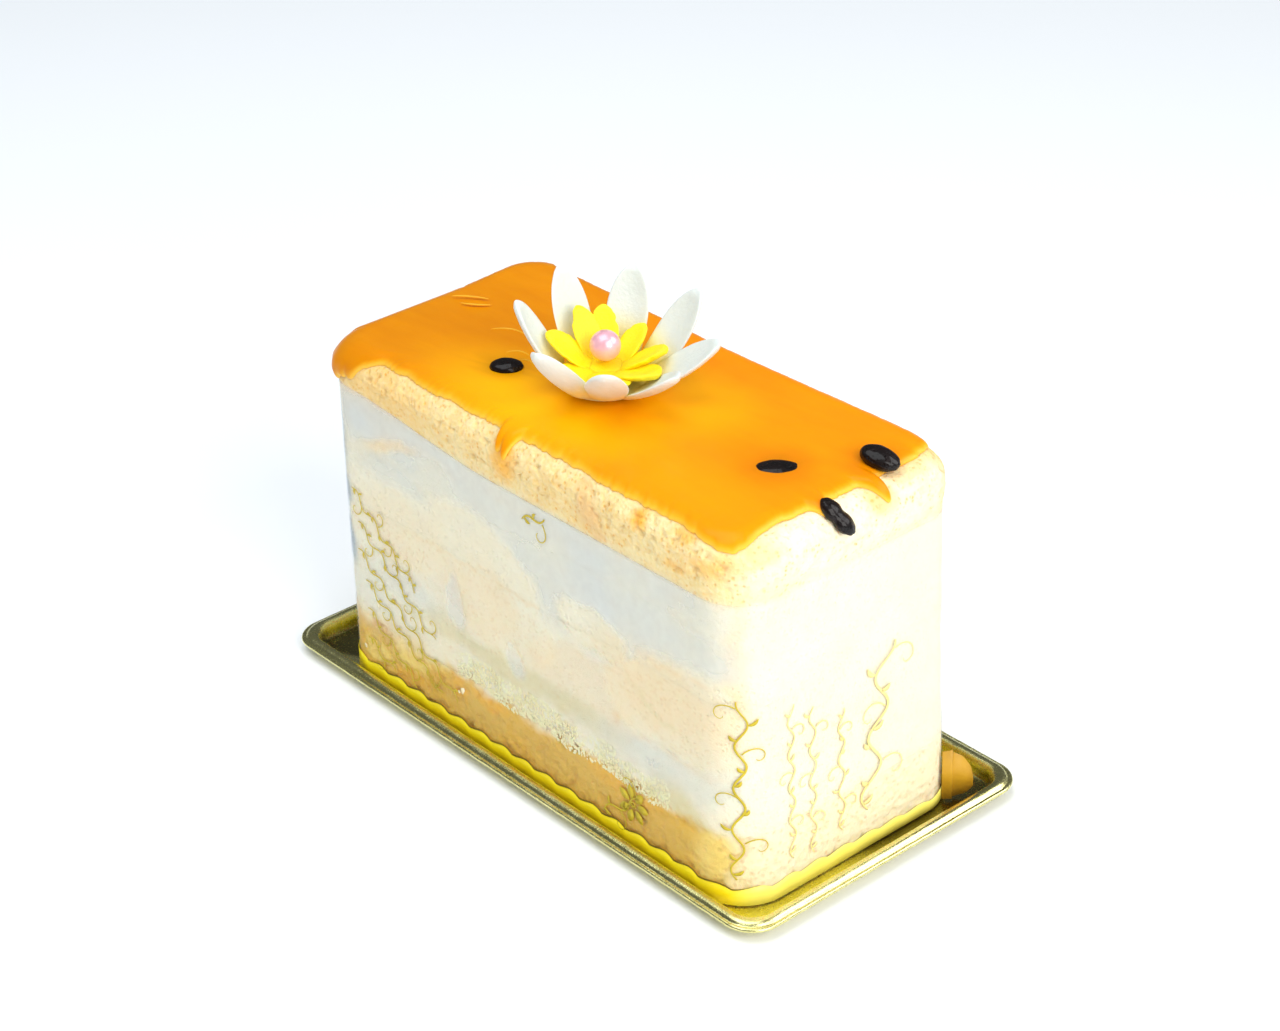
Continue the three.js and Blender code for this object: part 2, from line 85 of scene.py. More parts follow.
# %% [markdown]
# ## Camera, light and floor
# The camera stands where the photographer stood: to the right of the long side and 30 degrees up,
# with a long lens that keeps the edges nearly parallel. The light is one big soft window on the
# right, which washes out the short side, and a pale room. Shiny things look better when they have
# something dark to mirror, so the room is dimmer for reflections than for light.

# %% Camera
FOCAL_PIXELS, FRAME_WIDTH, SENSOR = 2837.2, 1280, 36
DISTANCE, SHIFT_RIGHT, SHIFT_UP, AIM_HEIGHT = 419, 1.12, 5.37, 30.47
azimuth, elevation, roll = (math.radians(angle) for angle in (49.98, 29.69, -2.164))
back = Vector((math.sin(azimuth) * math.cos(elevation), -math.cos(azimuth) * math.cos(elevation),
               math.sin(elevation)))
level = Vector((math.cos(azimuth), math.sin(azimuth), 0))
upright = back.cross(level)
right = math.cos(roll) * level + math.sin(roll) * upright
up = -math.sin(roll) * level + math.cos(roll) * upright
aim = Vector((CAKE_X, CAKE_Y, AIM_HEIGHT))
place = aim + DISTANCE * back + SHIFT_RIGHT * right + SHIFT_UP * up

camera = bpy.data.objects.new("camera", bpy.data.cameras.new("camera"))
camera.data.sensor_width = SENSOR
camera.data.lens = FOCAL_PIXELS / FRAME_WIDTH * SENSOR
camera.data.clip_start = 0.01
camera.matrix_world = Matrix.Translation(place * MM) @ Matrix(
    (right, up, back)).transposed().to_4x4()
bpy.context.scene.collection.objects.link(camera)
bpy.context.scene.camera = camera
print("lens:", round(camera.data.lens, 1), "mm")


# %% Room and window
def soft_light(name, spot, size, power, colour):
    """A square soft light at a spot in millimetres, turned to the cake."""
    lamp = bpy.data.lights.new(name, "AREA")
    lamp.size = size * MM
    lamp.energy = power
    lamp.color = colour
    holder = bpy.data.objects.new(name, lamp)
    holder.location = Vector(spot) * MM
    towards = aim * MM - holder.location
    holder.rotation_euler = towards.to_track_quat("-Z", "Y").to_euler()
    bpy.context.scene.collection.objects.link(holder)
    return holder


soft_light("window", (520, -60, 330), 420, 2.8, (1.0, 0.985, 0.95))
soft_light("sky", (-60, -120, 620), 520, 2.4, (0.93, 0.97, 1.0))
card = soft_light("card", (230, 270, 290), 260, 0.9, (1.0, 1.0, 1.0))
card.visible_diffuse = False  # a white card that only shiny things mirror

world = bpy.data.worlds.new("pale room")
world.use_nodes = True
bpy.context.scene.world = world
room = world.node_tree
room.nodes.clear()
path = room.nodes.new("ShaderNodeLightPath")


def room_tone(colour, strength):
    """One colour that the room can have."""
    tone = room.nodes.new("ShaderNodeBackground")
    tone.inputs["Color"].default_value = (*colour, 1)
    tone.inputs["Strength"].default_value = strength
    return tone


def chosen_for(ray, chosen, otherwise):
    """One tone for this kind of ray and another for the rest."""
    mix = room.nodes.new("ShaderNodeMixShader")
    room.links.new(path.outputs[ray], mix.inputs["Fac"])
    room.links.new(otherwise.outputs[0], mix.inputs[1])
    room.links.new(chosen.outputs[0], mix.inputs[2])
    return mix


lit = room_tone((0.86, 0.93, 1.0), 0.6)
mirrored = room_tone((0.9, 0.95, 1.0), 0.12)
seen = room_tone((1, 1, 1), 1)
for_gloss = chosen_for("Is Glossy Ray", mirrored, lit)
for_eye = chosen_for("Is Camera Ray", seen, for_gloss)
world_out = room.nodes.new("ShaderNodeOutputWorld")
room.links.new(for_eye.outputs[0], world_out.inputs["Surface"])
bpy.context.scene.view_settings.view_transform = "Standard"

# %% [markdown]
# ## Shader building blocks
# Three effects come back in several finishes, so each is a node group with named sockets: a soft
# mottle, a field of pores, and scratches drawn out along one axis.
# All of them read the object's own coordinates. The mesh is in true size, so a scale in millimetres
# means the same thing in every material.


# %% Small helpers for nodes
def srgb(red, green, blue):
    """A colour on a 0 to 255 scale, as the linear values that a shader wants."""
    def linear(value):
        value /= 255
        return value / 12.92 if value <= 0.04045 else ((value + 0.055) / 1.055) ** 2.4
    return (linear(red), linear(green), linear(blue), 1)


def new_group(name, inputs, outputs):
    """An empty node group. Inputs are (label, kind, value) and outputs (label, kind)."""
    group = bpy.data.node_groups.new(name, "ShaderNodeTree")
    for label, kind, value in inputs:
        socket = group.interface.new_socket(label, in_out="INPUT", socket_type="NodeSocket" + kind)
        socket.default_value = value
    for label, kind in outputs:
        group.interface.new_socket(label, in_out="OUTPUT", socket_type="NodeSocket" + kind)
    return group, group.nodes.new("NodeGroupInput"), group.nodes.new("NodeGroupOutput")


def add_node(tree, kind, links=(), **settings):
    """A node with its settings made. Links go from (node, output) to one of its inputs."""
    node = tree.nodes.new("ShaderNode" + kind)
    for key, value in settings.items():
        if key in node.inputs:
            node.inputs[key].default_value = value
        else:
            setattr(node, key, value)
    for (source, output), socket in links:
        tree.links.new(source.outputs[output], node.inputs[socket])
    return node


def join(tree, source, node, socket):
    """Links (node, output) to a socket of another node."""
    tree.links.new(source[0].outputs[source[1]], node.inputs[socket])


def maths(tree, operation, first, second=None, clamp=False):
    """A Math node. Each operand is a number or (node, output)."""
    node = tree.nodes.new("ShaderNodeMath")
    node.operation = operation
    node.use_clamp = clamp
    for place, value in enumerate((first, second)):
        if isinstance(value, tuple):
            join(tree, value, node, place)
        elif value is not None:
            node.inputs[place].default_value = value
    return node, 0


def own_place(tree, given, operation, socket):
    """The object's own coordinates in millimetres, times or over one of the group's inputs."""
    place = add_node(tree, "TexCoord")
    spot = add_node(tree, "VectorMath", [((place, "Object"), 0)], operation="SCALE", Scale=1000)
    return add_node(tree, "VectorMath", [((spot, 0), 0), ((given, socket), 1)],
                    operation=operation)


# %% Mottle, pores and drawn-out scratches
mottle, given, taken = new_group("Mottle", [("Size", "Float", 6), ("Contrast", "Float", 1)],
                                 [("Value", "Float")])
shrunk = own_place(mottle, given, "DIVIDE", "Size")
lumps = add_node(mottle, "TexNoise", [((shrunk, 0), "Vector")], Scale=1, Detail=3)
centred = maths(mottle, "SUBTRACT", (lumps, "Fac"), 0.5)
spread = maths(mottle, "MULTIPLY", centred, (given, "Contrast"))
join(mottle, maths(mottle, "ADD", spread, 0.5, clamp=True), taken, "Value")

pores, given, taken = new_group("Pores", [("Size", "Float", 1), ("Amount", "Float", 0.5)],
                                [("Mask", "Float"), ("Height", "Float")])
shrunk = own_place(pores, given, "DIVIDE", "Size")
bubbles = add_node(pores, "TexVoronoi", [((shrunk, 0), "Vector")], Scale=1, Randomness=1)
where = add_node(pores, "TexNoise", [((shrunk, 0), "Vector")], Scale=0.6, Detail=2)
reach = maths(pores, "MULTIPLY", (where, "Fac"), (given, "Amount"))
hollow = add_node(pores, "MapRange", [((bubbles, "Distance"), "Value"), (reach, "From Max")],
                  interpolation_type="SMOOTHSTEP")
hollow.inputs["To Min"].default_value = 1
hollow.inputs["To Max"].default_value = 0
join(pores, (hollow, 0), taken, "Mask")
join(pores, maths(pores, "SUBTRACT", 1, (hollow, 0)), taken, "Height")

drawn, given, taken = new_group("Drawn Lines", [("Grain", "Vector", (1, 12, 12))],
                                [("Value", "Float")])
stretched = own_place(drawn, given, "MULTIPLY", "Grain")
fibres = add_node(drawn, "TexNoise", [((stretched, 0), "Vector")], Scale=0.6, Detail=3)
join(drawn, (fibres, "Fac"), taken, "Value")
print("node groups:", [group.name for group in bpy.data.node_groups])


# %% Helpers that put a material together
def new_material(name, **constants):
    """A material with one Principled shader. Constants go straight on the shader's sockets."""
    material = bpy.data.materials.new(name)
    material.use_nodes = True
    shader = material.node_tree.nodes["Principled BSDF"]
    for socket, value in constants.items():
        shader.inputs[socket.replace("_", " ")].default_value = value
    return material, material.node_tree, shader


def use_group(tree, group, **values):
    """One of the groups above, placed in a material with its own values."""
    node = tree.nodes.new("ShaderNodeGroup")
    node.node_tree = group
    for socket, value in values.items():
        node.inputs[socket.replace("_", " ")].default_value = value
    return node


def mottled(tree, size, contrast):
    """A mottle from 0 to 1 with spots of this size in millimetres, as (node, output)."""
    return use_group(tree, mottle, Size=size, Contrast=contrast), "Value"


FIRST_COLOUR, SECOND_COLOUR, MIXED_COLOUR = 6, 7, 2  # a Mix node's sockets, by number


def mix_colours(tree, share, first, second):
    """First where share is 0 and second where it is 1. Each may be a colour or (node, output)."""
    node = tree.nodes.new("ShaderNodeMix")
    node.data_type = "RGBA"
    join(tree, share, node, "Factor")
    for value, socket in ((first, FIRST_COLOUR), (second, SECOND_COLOUR)):
        if isinstance(value[0], bpy.types.Node):
            join(tree, value, node, socket)
        else:
            node.inputs[socket].default_value = value
    return node, MIXED_COLOUR


def add_bump(tree, shader, height, depth):
    """A bump of so many millimetres, from a height at (node, output)."""
    node = add_node(tree, "Bump", [(height, "Height")], Distance=depth * MM)
    join(tree, (node, "Normal"), shader, "Normal")


def two_tone(name, light, dark, size, contrast=1.8, grain=None, **constants):
    """A finish mottled in two tones. Grain is the size, contrast and depth of a fine bump."""
    material, tree, shader = new_material(name, **constants)
    patches = mottled(tree, size, contrast)
    join(tree, mix_colours(tree, patches, light, dark), shader, "Base Color")
    if grain:
        fine_size, fine_contrast, depth = grain
        add_bump(tree, shader, mottled(tree, fine_size, fine_contrast), depth)
    return material


# %% [markdown]
# The first finish is the plainest one: matt white paper that is barely mottled, so that only the
# cake's shadow shows on it. The floor is a stage for the picture and no part of the cake.

# %% Floor
FLOOR_HALF, FLOOR_DROP = 1600, 0.02
corners = [(x * FLOOR_HALF * MM, y * FLOOR_HALF * MM, 0)
           for x, y in ((-1, -1), (1, -1), (1, 1), (-1, 1))]
sheet = bpy.data.meshes.new("floor")
sheet.from_pydata(corners, [], [(0, 1, 2, 3)])
floor = bpy.data.objects.new("floor", sheet)
floor.location.z = -FLOOR_DROP * MM
bpy.context.scene.collection.objects.link(floor)
floor.data.materials.append(two_tone("matt white paper", (0.93, 0.935, 0.94, 1),
                                     (0.96, 0.96, 0.96, 1), 90, 0.4, Roughness=0.9))
floor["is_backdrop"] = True

# %% [markdown]
# ## Shapes from rings
# Nearly everything here is a skin over a stack of rings. A ring is a rounded rectangle, given by
# its half sizes and corner radius. A station on it keeps a share of the straight sides and the way
# it faces, so one ring can swell, flare or shrink and its points still line up with the next one.

# %% Ramps, stations and rings
QUARTER = math.pi / 2


def ramp(start, end, value):
    """0 before start, 1 after end and smooth between. End may be the smaller one."""
    share = np.clip((np.asarray(value, float) - start) / (end - start), 0, 1)
    return share * share * (3 - 2 * share)


def bump(distance):
    """A smooth bump of height 1 that is gone at a distance of 1."""
    return 1 - ramp(0, 1, np.abs(distance))


SIDES = [((-1, -1), (1, -1), -QUARTER), ((1, -1), (1, 1), 0),  # start, end and way it faces
         ((1, 1), (-1, 1), QUARTER), ((-1, 1), (-1, -1), math.pi)]


def between(start, end, share):
    """The point at this share of the way from start to end."""
    return tuple(a + (b - a) * share for a, b in zip(start, end))


def stations_round(long_steps, short_steps, corner_steps):
    """Rows of (core x, core y, facing) round a rectangle, from its front left corner."""
    rows = []
    for (start, end, facing), steps in zip(SIDES, (long_steps, short_steps) * 2):
        rows += [(*between(start, end, k / steps), facing) for k in range(steps)]
        rows += [(*end, facing + QUARTER * k / corner_steps) for k in range(corner_steps)]
    return np.array(rows)


def ring(stations, half_x, half_y, radius):
    """x and y of the stations on a rounded rectangle."""
    core_x, core_y, facing = stations.T
    return (core_x * (half_x - radius) + radius * np.cos(facing),
            core_y * (half_y - radius) + radius * np.sin(facing))


def points(x, y, z):
    """Rows of x, y and z."""
    return np.stack(np.broadcast_arrays(x, y, z), axis=-1).astype(float)


def all_angles(steps):
    """So many angles, evenly round a circle."""
    return np.linspace(0, 2 * math.pi, steps, endpoint=False)


# %% A skin over rings, and noise at points
def skin_faces(count, width, closed):
    """Four-sided faces over so many rings of this width; closed joins the last ring to the first."""
    faces = []
    for low in range(count if closed else count - 1):
        high = (low + 1) % count
        for j in range(width):
            after = (j + 1) % width
            faces.append((low * width + j, low * width + after,
                          high * width + after, high * width + j))
    return faces


def add_closed(places, faces, rings, first, last):
    """Adds rings and two poles as one closed skin to lists of points and faces."""
    start = sum(len(one) for one in places)
    width = len(rings[0])
    for face in skin_faces(len(rings), width, closed=False):
        faces.append(tuple(start + corner for corner in face))
    pole = start + len(rings) * width
    top = start + (len(rings) - 1) * width
    for j in range(width):
        after = (j + 1) % width
        faces += [(pole, start + after, start + j), (pole + 1, top + j, top + after)]
    places += [np.asarray(one, float) for one in rings] + [np.array([first]), np.array([last])]


def make_object(name, places, faces, shift=(CAKE_X, CAKE_Y, 0)):
    """A smooth mesh object from blocks of points in millimetres, moved by the shift."""
    mesh = bpy.data.meshes.new(name)
    mesh.from_pydata(((np.concatenate(places) + np.array(shift)) * MM).tolist(), [], faces)
    mesh.validate()
    mesh.polygons.foreach_set("use_smooth", [True] * len(mesh.polygons))
    piece = bpy.data.objects.new(name, mesh)
    bpy.context.scene.collection.objects.link(piece)
    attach(piece, "root")
    return piece


def skin(name, rings, first=None, last=None, **shift):
    """An object over rings, closed onto two poles or back onto its first ring."""
    places, faces = [], []
    if first is None:
        places = rings
        faces = skin_faces(len(rings), len(rings[0]), closed=True)
    else:
        add_closed(places, faces, rings, first, last)
    return make_object(name, places, faces, **shift)


def lumps_at(places, size, seed=0):
    """Noise from about -1 to 1 at rows of points, with lumps so many millimetres across."""
    shift = Vector((seed * 7.3, seed * 3.1, seed * 5.7))
    flat = np.asarray(places).reshape(-1, 3) / size
    values = [noise.noise(Vector(place) + shift) for place in flat]
    return np.array(values).reshape(np.shape(places)[:-1])


def finish_piece(piece, material, node=None):
    """Gives a piece its material and hides the solid of the node that it stands for."""
    piece.data.materials.append(material)
    if node:
        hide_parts(node)
    print(piece.name, len(piece.data.polygons), "faces")


# %% [markdown]
# ## Stains
# Some marks sit at one place only, such as a blot of juice or a misty patch. Noise can't place them,
# so they are given as rows: a middle, half sizes, a turn, a taper and a softness. Python works them
# out at every point of a dense mesh and writes them as an attribute, and the material reads it. That
# is exact enough here, and it renders much faster than dozens of shapes drawn by nodes. The sides
# that face away get the same stains half a turn round, so that they aren't blank.


# %% Stains written on a mesh
def wobbled(piece, size, reach):
    """The piece's points in millimetres, pushed about by noise so that stains get wobbly edges."""
    places = np.empty(len(piece.data.vertices) * 3)
    piece.data.vertices.foreach_get("co", places)
    places = places.reshape(-1, 3) / MM
    push = np.stack([lumps_at(places, size, seed=20 + k) + 0.5 * lumps_at(places, size / 3, seed=k)
                     for k in range(3)], axis=-1)
    return places + push * reach


def stain_at(places, marks):
    """The most of several stains: rows of x, y, z, half sizes, turn, taper, softness, strength."""
    total = np.zeros(len(places))
    for x, y, z, half_x, half_y, half_z, turn, taper, soft, strength in marks:
        away = places - (x, y, z)
        cosine, sine = math.cos(math.radians(turn)), math.sin(math.radians(turn))
        along = (away[:, 0] * cosine + away[:, 2] * sine) / half_x
        rise = (away[:, 2] * cosine - away[:, 0] * sine) / half_z
        along *= 1 + abs(taper) + taper * np.clip(rise, -1, 1)
        distance = np.sqrt(along ** 2 + (away[:, 1] / half_y) ** 2 + rise ** 2)
        total = np.maximum(total, strength * ramp(1 + soft, 1 - soft, distance))
    return total


def write_mask(piece, name, values):
    """A number from 0 to 1 at every point of the mesh, for a material to read."""
    layer = piece.data.attributes.new(name, "FLOAT", "POINT")
    layer.data.foreach_set("value", np.asarray(values, np.float32))


def read_mask(tree, name):
    """The mask in a material, as (node, output)."""
    return add_node(tree, "Attribute", attribute_name=name), "Fac"


FRONT_Y, RIGHT_X = CAKE_Y - CAKE_WIDTH / 2, CAKE_X + CAKE_LENGTH / 2


def on_front(x, z, half_x, half_z, turn=0, taper=0, soft=0.4, strength=1):
    """A stain on the long face: x from the cake's middle, z from the table."""
    return (CAKE_X + x, FRONT_Y, z, half_x, 4, half_z, turn, taper, soft, strength)


def on_side(y, z, half_y, half_z, soft=0.5, strength=1):
    """A stain on the short face: y from the cake's middle, z from the table."""
    return (RIGHT_X, CAKE_Y + y, z, 4, half_y, half_z, 0, 0, soft, strength)


def all_round(marks):
    """The stains, and the same again half a turn round for the sides that face away."""
    return marks + [(2 * CAKE_X - x, 2 * CAKE_Y - y, z, half_x, half_y, half_z, -turn, *rest)
                    for x, y, z, half_x, half_y, half_z, turn, *rest in marks]


# %% [markdown]
# ## Tray
# The real tray is one sheet of metallised card, pressed into a rim with a bead and an outer lip.
# Its section is given as a few points and smoothed with a spline, then carried round the corners.
# Pressing creases the card, so the rim gets tiny uneven ripples that break up its reflections.

# %% Tray shape
TRAY_LENGTH, TRAY_WIDTH, TRAY_CORNER, TRAY_FLOOR = 108.6, 55.2, 5, 0.45
TRAY_SECTION = [
    (3.4, 0), (3.0, 0.12), (2.65, 0.7), (2.3, 1.5), (1.9, 2.1), (1.4, 2.25), (0.9, 1.85),
    (0.3, 1.75), (0.03, 2.0), (0.1, 2.3), (0.4, 2.42), (0.6, 2.36), (0.95, 2.72), (1.45, 2.92),
    (1.95, 2.88), (2.35, 2.6), (2.65, 2.0), (2.95, 1.1), (3.25, 0.6), (3.6, TRAY_FLOOR)]


def smooth_line(corners, steps):
    """A Catmull-Rom line through corner points, with so many steps between two of them."""
    corners = np.array(corners, float)
    padded = np.vstack([corners[:1], corners, corners[-1:]])
    line = []
    for k in range(1, len(padded) - 2):
        before, start, end, after = padded[k - 1:k + 3]
        for share in np.arange(steps) / steps:
            line.append(0.5 * (2 * start + (end - before) * share
                               + (2 * before - 5 * start + 4 * end - after) * share ** 2
                               + (3 * start - before - 3 * end + after) * share ** 3))
    line.append(corners[-1])
    return np.array(line)


def tray_rings():
    """Rings from the foot up over the rim and down to the floor inside."""
    stations = stations_round(150, 72, 22)
    rings = []
    for inset, height in smooth_line(TRAY_SECTION, 3):
        inset = max(inset, 0)
        radius = max(TRAY_CORNER - 0.6 * inset, 2)
        x, y = ring(stations, TRAY_LENGTH / 2 - inset, TRAY_WIDTH / 2 - inset, radius)
        place = points(x, y, max(height, 0))
        ripple = 0.04 * lumps_at(place * (1, 1, 0.3), 1.5) * ramp(0.5, 1.5, height)
        place[:, 2] = np.clip(place[:, 2] + ripple, 0, 2.92)
        rings.append(place)
    return rings


# Painted shade on the tray's floor at both ends, where the cake and the rim shade it.
FLOOR_SHADE = [(side * 49.5, y, 0.4, 3.4, half_y, 1.6, 0, 0, 0.3, strength)  # dull patches of its floor
        for side, y, half_y, strength in ((-1, 0, 34, 0.9), (1, 15, 17, 0.85))]
tray = skin("gold_tray", tray_rings(), (0, 0, 0), (0, 0, TRAY_FLOOR), shift=(0, 0, 0))
write_mask(tray, "Floor Shade", stain_at(wobbled(tray, 4, 0.3), FLOOR_SHADE))

# %% [markdown]
# The card is metal foil with two sets of fine scratches that cross. They change its tone, and a
# finer mottle changes how sharply it mirrors. Its floor is painted darker at both ends: painted
# shade where it lies in the shadow of the cake and the rim.

# %% Tray finish
gold_card, tree, shader = new_material("gold metallised card", Metallic=1, Specular_IOR_Level=0.5)
along = use_group(tree, drawn, Grain=(0.8, 9, 9))
across = use_group(tree, drawn, Grain=(9, 0.8, 9))
worn = mottled(tree, 5, 1.6)
fine = mottled(tree, 0.7, 1.4)
streaks = maths(tree, "MULTIPLY", (along, "Value"), (across, "Value"))
share = maths(tree, "ADD", streaks, maths(tree, "MULTIPLY", worn, 0.5), clamp=True)
gold = mix_colours(tree, share, srgb(212, 204, 122), srgb(248, 244, 184))
# Painted shade: the floor's two ends are mixed to a dark gold.
gold = mix_colours(tree, read_mask(tree, "Floor Shade"), gold, srgb(104, 94, 44))
join(tree, gold, shader, "Base Color")
sheen = maths(tree, "ADD", maths(tree, "MULTIPLY", fine, 0.12), 0.2)
join(tree, sheen, shader, "Roughness")
add_bump(tree, shader, streaks, 0.04)
finish_piece(tray, gold_card, "tray")

# %% [markdown]
# ## Layers behind the film
# Cake and mousse are set inside the strip of film, so their sides are pressed flat against it and
# only their pores and crumbs stand back. Each layer is a block between two wavy seams. Its wall is
# a fine net of points, and noise pulls each point inwards by as much as its pores are deep.


# %% Seams and walls
def flare_at(height):
    """How much further out a side stands at this height than at the film's top."""
    return FOOT_FLARE * (1 - np.clip(np.asarray(height) / FILM_TOP, 0, 1))


def film_top_at(x):
    """Height of the film's top edge, which climbs towards the left end."""
    return FILM_TOP + FILM_RISE * ramp(-6, -CAKE_LENGTH / 2, x)


SEAMS = {
    "foot": lambda x, y: CAKE_FOOT + 0 * x,
    "base": lambda x, y: BASE_TOP + 0.5 * np.sin(x / 9 + 0.6) + 0.35 * np.sin(y / 6 - x / 17),
    "lower": lambda x, y: LOWER_MOUSSE_TOP - 0.8 * np.sin(x / 19) + 0.4 * np.sin(y / 8 + 1),
    "middle": lambda x, y: MIDDLE_TOP + 0.7 * ramp(10, 40, x) + 0.35 * np.sin(x / 7 + y / 11),
}
BEHIND_FILM = FILM_THICKNESS + 0.02
CAP_SHARES = (0.35, 0.7, 0.92)
LEVEL = 20  # any height will do for a ring that only says where the side stands


def wall_ring(stations, height, inset):
    """A ring just behind the film, or further in by a varying inset."""
    out = flare_at(height) - inset
    x, y = ring(stations, CAKE_LENGTH / 2 + out, CAKE_WIDTH / 2 + out, FILM_CORNER + out)
    return points(x, y, height)


def seam_ring(stations, seam, share, lift):
    """A ring on a seam at this share of the way out from the middle."""
    outer = wall_ring(stations, LEVEL, BEHIND_FILM + 0.4)
    x, y = outer[:, 0] * share, outer[:, 1] * share
    return points(x, y, seam(x, y) + lift)


def layer(name, low, high, rows, depth_of):
    """A block between two seams, its wall pitted by depth_of(places)."""
    stations = stations_round(190, 84, 20)
    edge = wall_ring(stations, LEVEL, BEHIND_FILM)
    bottom = low(edge[:, 0], edge[:, 1]) + 0.01
    top = high(edge[:, 0], edge[:, 1]) - 0.01
    wall = []
    for share in (0, 0.004, *np.linspace(0, 1, rows)[1:-1], 0.996, 1):
        height = bottom + (top - bottom) * share
        depth = np.maximum(depth_of(wall_ring(stations, height, BEHIND_FILM)), 0)
        wall.append(wall_ring(stations, height, BEHIND_FILM + depth))
    rings = [seam_ring(stations, low, share, 0.02) for share in CAP_SHARES]
    rings += wall
    rings += [seam_ring(stations, high, share, -0.02) for share in reversed(CAP_SHARES)]
    zero = np.zeros(1)
    return skin(name, rings, (0, 0, float(low(zero, zero)[0]) + 0.02),
                (0, 0, float(high(zero, zero)[0]) - 0.02))


def loose_zone(places):
    """1 where crumbs lie loose between the sponge and the mousse on the long face."""
    x, y, z = places[:, 0], places[:, 1], places[:, 2]
    along_face = ramp(-17, -12, x) * ramp(36, 30, x) * (1 - 0.6 * bump((x - 14.5) / 4))
    return along_face * ramp(10.4, 12, z) * ramp(17.2, 15.2, z) * (y < -CAKE_WIDTH / 2 + 2)


def crumb_depth(places):
    """Open crumb: small pores all over and a few larger holes."""
    small = 0.26 * ramp(0.05, 0.55, lumps_at(places, 0.8))
    large = 0.4 * ramp(0.3, 0.55, lumps_at(places, 2.2, seed=2))
    return small + large + 0.2 * loose_zone(places)


def mousse_depth(places):
    """Set mousse: smooth, with wide shallow hollows where it never touched the film."""
    hollows = 0.16 * ramp(-0.1, 0.5, lumps_at(places, 6, seed=3))
    grain = 0.05 * ramp(0.1, 0.6, lumps_at(places, 1.1, seed=4))
    return hollows + grain + 0.2 * loose_zone(places)


# %% [markdown]
# Juice has crept from layer to layer, so the colours of the side don't stop at the seams. One node
# group paints the whole side by height and place, and each layer's finish uses it and adds its own
# pores. Below is the caramel crumb, above it an olive line where juice gathered, then cream.

# %% Colours of the side
SIDE_TINTS = [  # what the tint is called, its colour and its stains
    ("Tan", srgb(238, 212, 166), [
        on_front(32, 29, 13, 6.5, soft=0.5, strength=0.85), on_front(-28, 31, 10, 6, strength=0.4),
        on_front(-29.5, 44.8, 8, 1.5, 17, strength=0.9), on_front(-9, 27, 11, 6, strength=0.5),
        on_front(15, 24, 13, 5, strength=0.6), on_front(44, 40, 1.6, 16, strength=0.7),
        on_front(-6, 47, 16, 1.1, strength=0.4), on_front(34, 49, 13, 1, strength=0.35)]),
    ("Seam", srgb(236, 196, 134), [
        on_front(-5, 32.1, 20, 0.3, soft=0.9, strength=0.35),
        on_front(33, 34.5, 10, 0.35, 4, soft=0.9, strength=0.4),
        on_front(33, 20.6, 12, 0.35, 2, soft=0.9, strength=0.3),
        on_front(20.5, 21.5, 0.8, 1.2, soft=0.8, strength=0.6)]),
    ("Olive", srgb(214, 198, 140), [
        on_front(0, 18.2, 23, 2.1, soft=0.5, strength=0.8),
        on_front(-17, 19, 6, 1.8, soft=0.5, strength=0.6),
        on_front(34.5, 13.5, 6.5, 2.4, -32, soft=0.6, strength=0.8),
        on_front(30, 26.5, 7, 0.35, -28, soft=0.9, strength=0.4)]),
    ("Brown", srgb(206, 166, 76), [
        on_front(-12, 7.5, 8, 3, strength=0.7), on_front(9, 8, 12, 3, strength=0.6),
        on_front(30, 7, 8, 3, strength=0.5)]),
    ("Orange", srgb(234, 168, 44), [
        on_front(-8.5, 10.2, 4, 1.3, strength=0.6), on_front(40.5, 7, 3.5, 4, strength=0.3),
        on_front(-36, 11.5, 3, 1.4, strength=0.6), on_front(-29, 5, 4, 2, strength=0.5),
        on_front(22, 10, 8, 1.3, strength=0.4), on_front(-16, 9, 2, 2.4, 30, strength=0.6)]),
    # The Pale stain on the short side and the whole short-side glare tint are painted light: the
    # window washes that side out, so it is painted paler.
    ("Pale", srgb(242, 214, 118), [
        on_front(-38, 14, 5, 3), on_front(-28, 10, 5, 3, strength=0.8),
        on_front(-36, 6.5, 4, 2, strength=0.8), on_front(-22, 12, 4, 2, strength=0.7),
        on_side(0, 5, 26, 14, strength=0.5), on_front(42, 7, 5, 6, strength=0.8)]),
    ("Short Side Glare", srgb(247, 237, 212), [on_side(0, 6, 26, 16, soft=0.3, strength=0.8)])]
side_colour, given, taken = new_group(
    "Cake Side", [("Caramel", "Float", 0)] + [(name, "Float", 0) for name, _, _ in SIDE_TINTS],
    [("Color", "Color")])
wide = mottled(side_colour, 7, 1.8)
fine = mottled(side_colour, 1.1, 1.5)
tone = mix_colours(side_colour, wide, srgb(236, 230, 206), srgb(236, 221, 186))
caramel = mix_colours(side_colour, wide, srgb(224, 180, 66), srgb(214, 162, 48))
for name, colour, _ in SIDE_TINTS:
    if name in ("Tan", "Seam", "Olive"):
        tone = mix_colours(side_colour, (given, name), tone, colour)
    else:
        caramel = mix_colours(side_colour, (given, name), caramel, colour)
grain = maths(side_colour, "MULTIPLY", fine, 0.25)
tone = mix_colours(side_colour, grain, tone, srgb(246, 240, 218))
caramel = mix_colours(side_colour, grain, caramel, srgb(238, 200, 108))
join(side_colour, mix_colours(side_colour, (given, "Caramel"), tone, caramel), taken, "Color")


def paint_side(piece):
    """Writes the side's tints on a layer."""
    places = wobbled(piece, 5, 1.3)
    soft_left = 2.4 * ramp(-18, -30, places[:, 0])
    write_mask(piece, "Caramel", ramp(12.8 + soft_left, 10.6 - soft_left, places[:, 2]))
    for name, _, marks in SIDE_TINTS:
        write_mask(piece, name, stain_at(places, all_round(marks)))


def side_of(tree):
    """The side's colour in a material, as (node, output)."""
    node = use_group(tree, side_colour)
    for name in ["Caramel"] + [name for name, _, _ in SIDE_TINTS]:
        join(tree, read_mask(tree, name), node, name)
    return node, "Color"


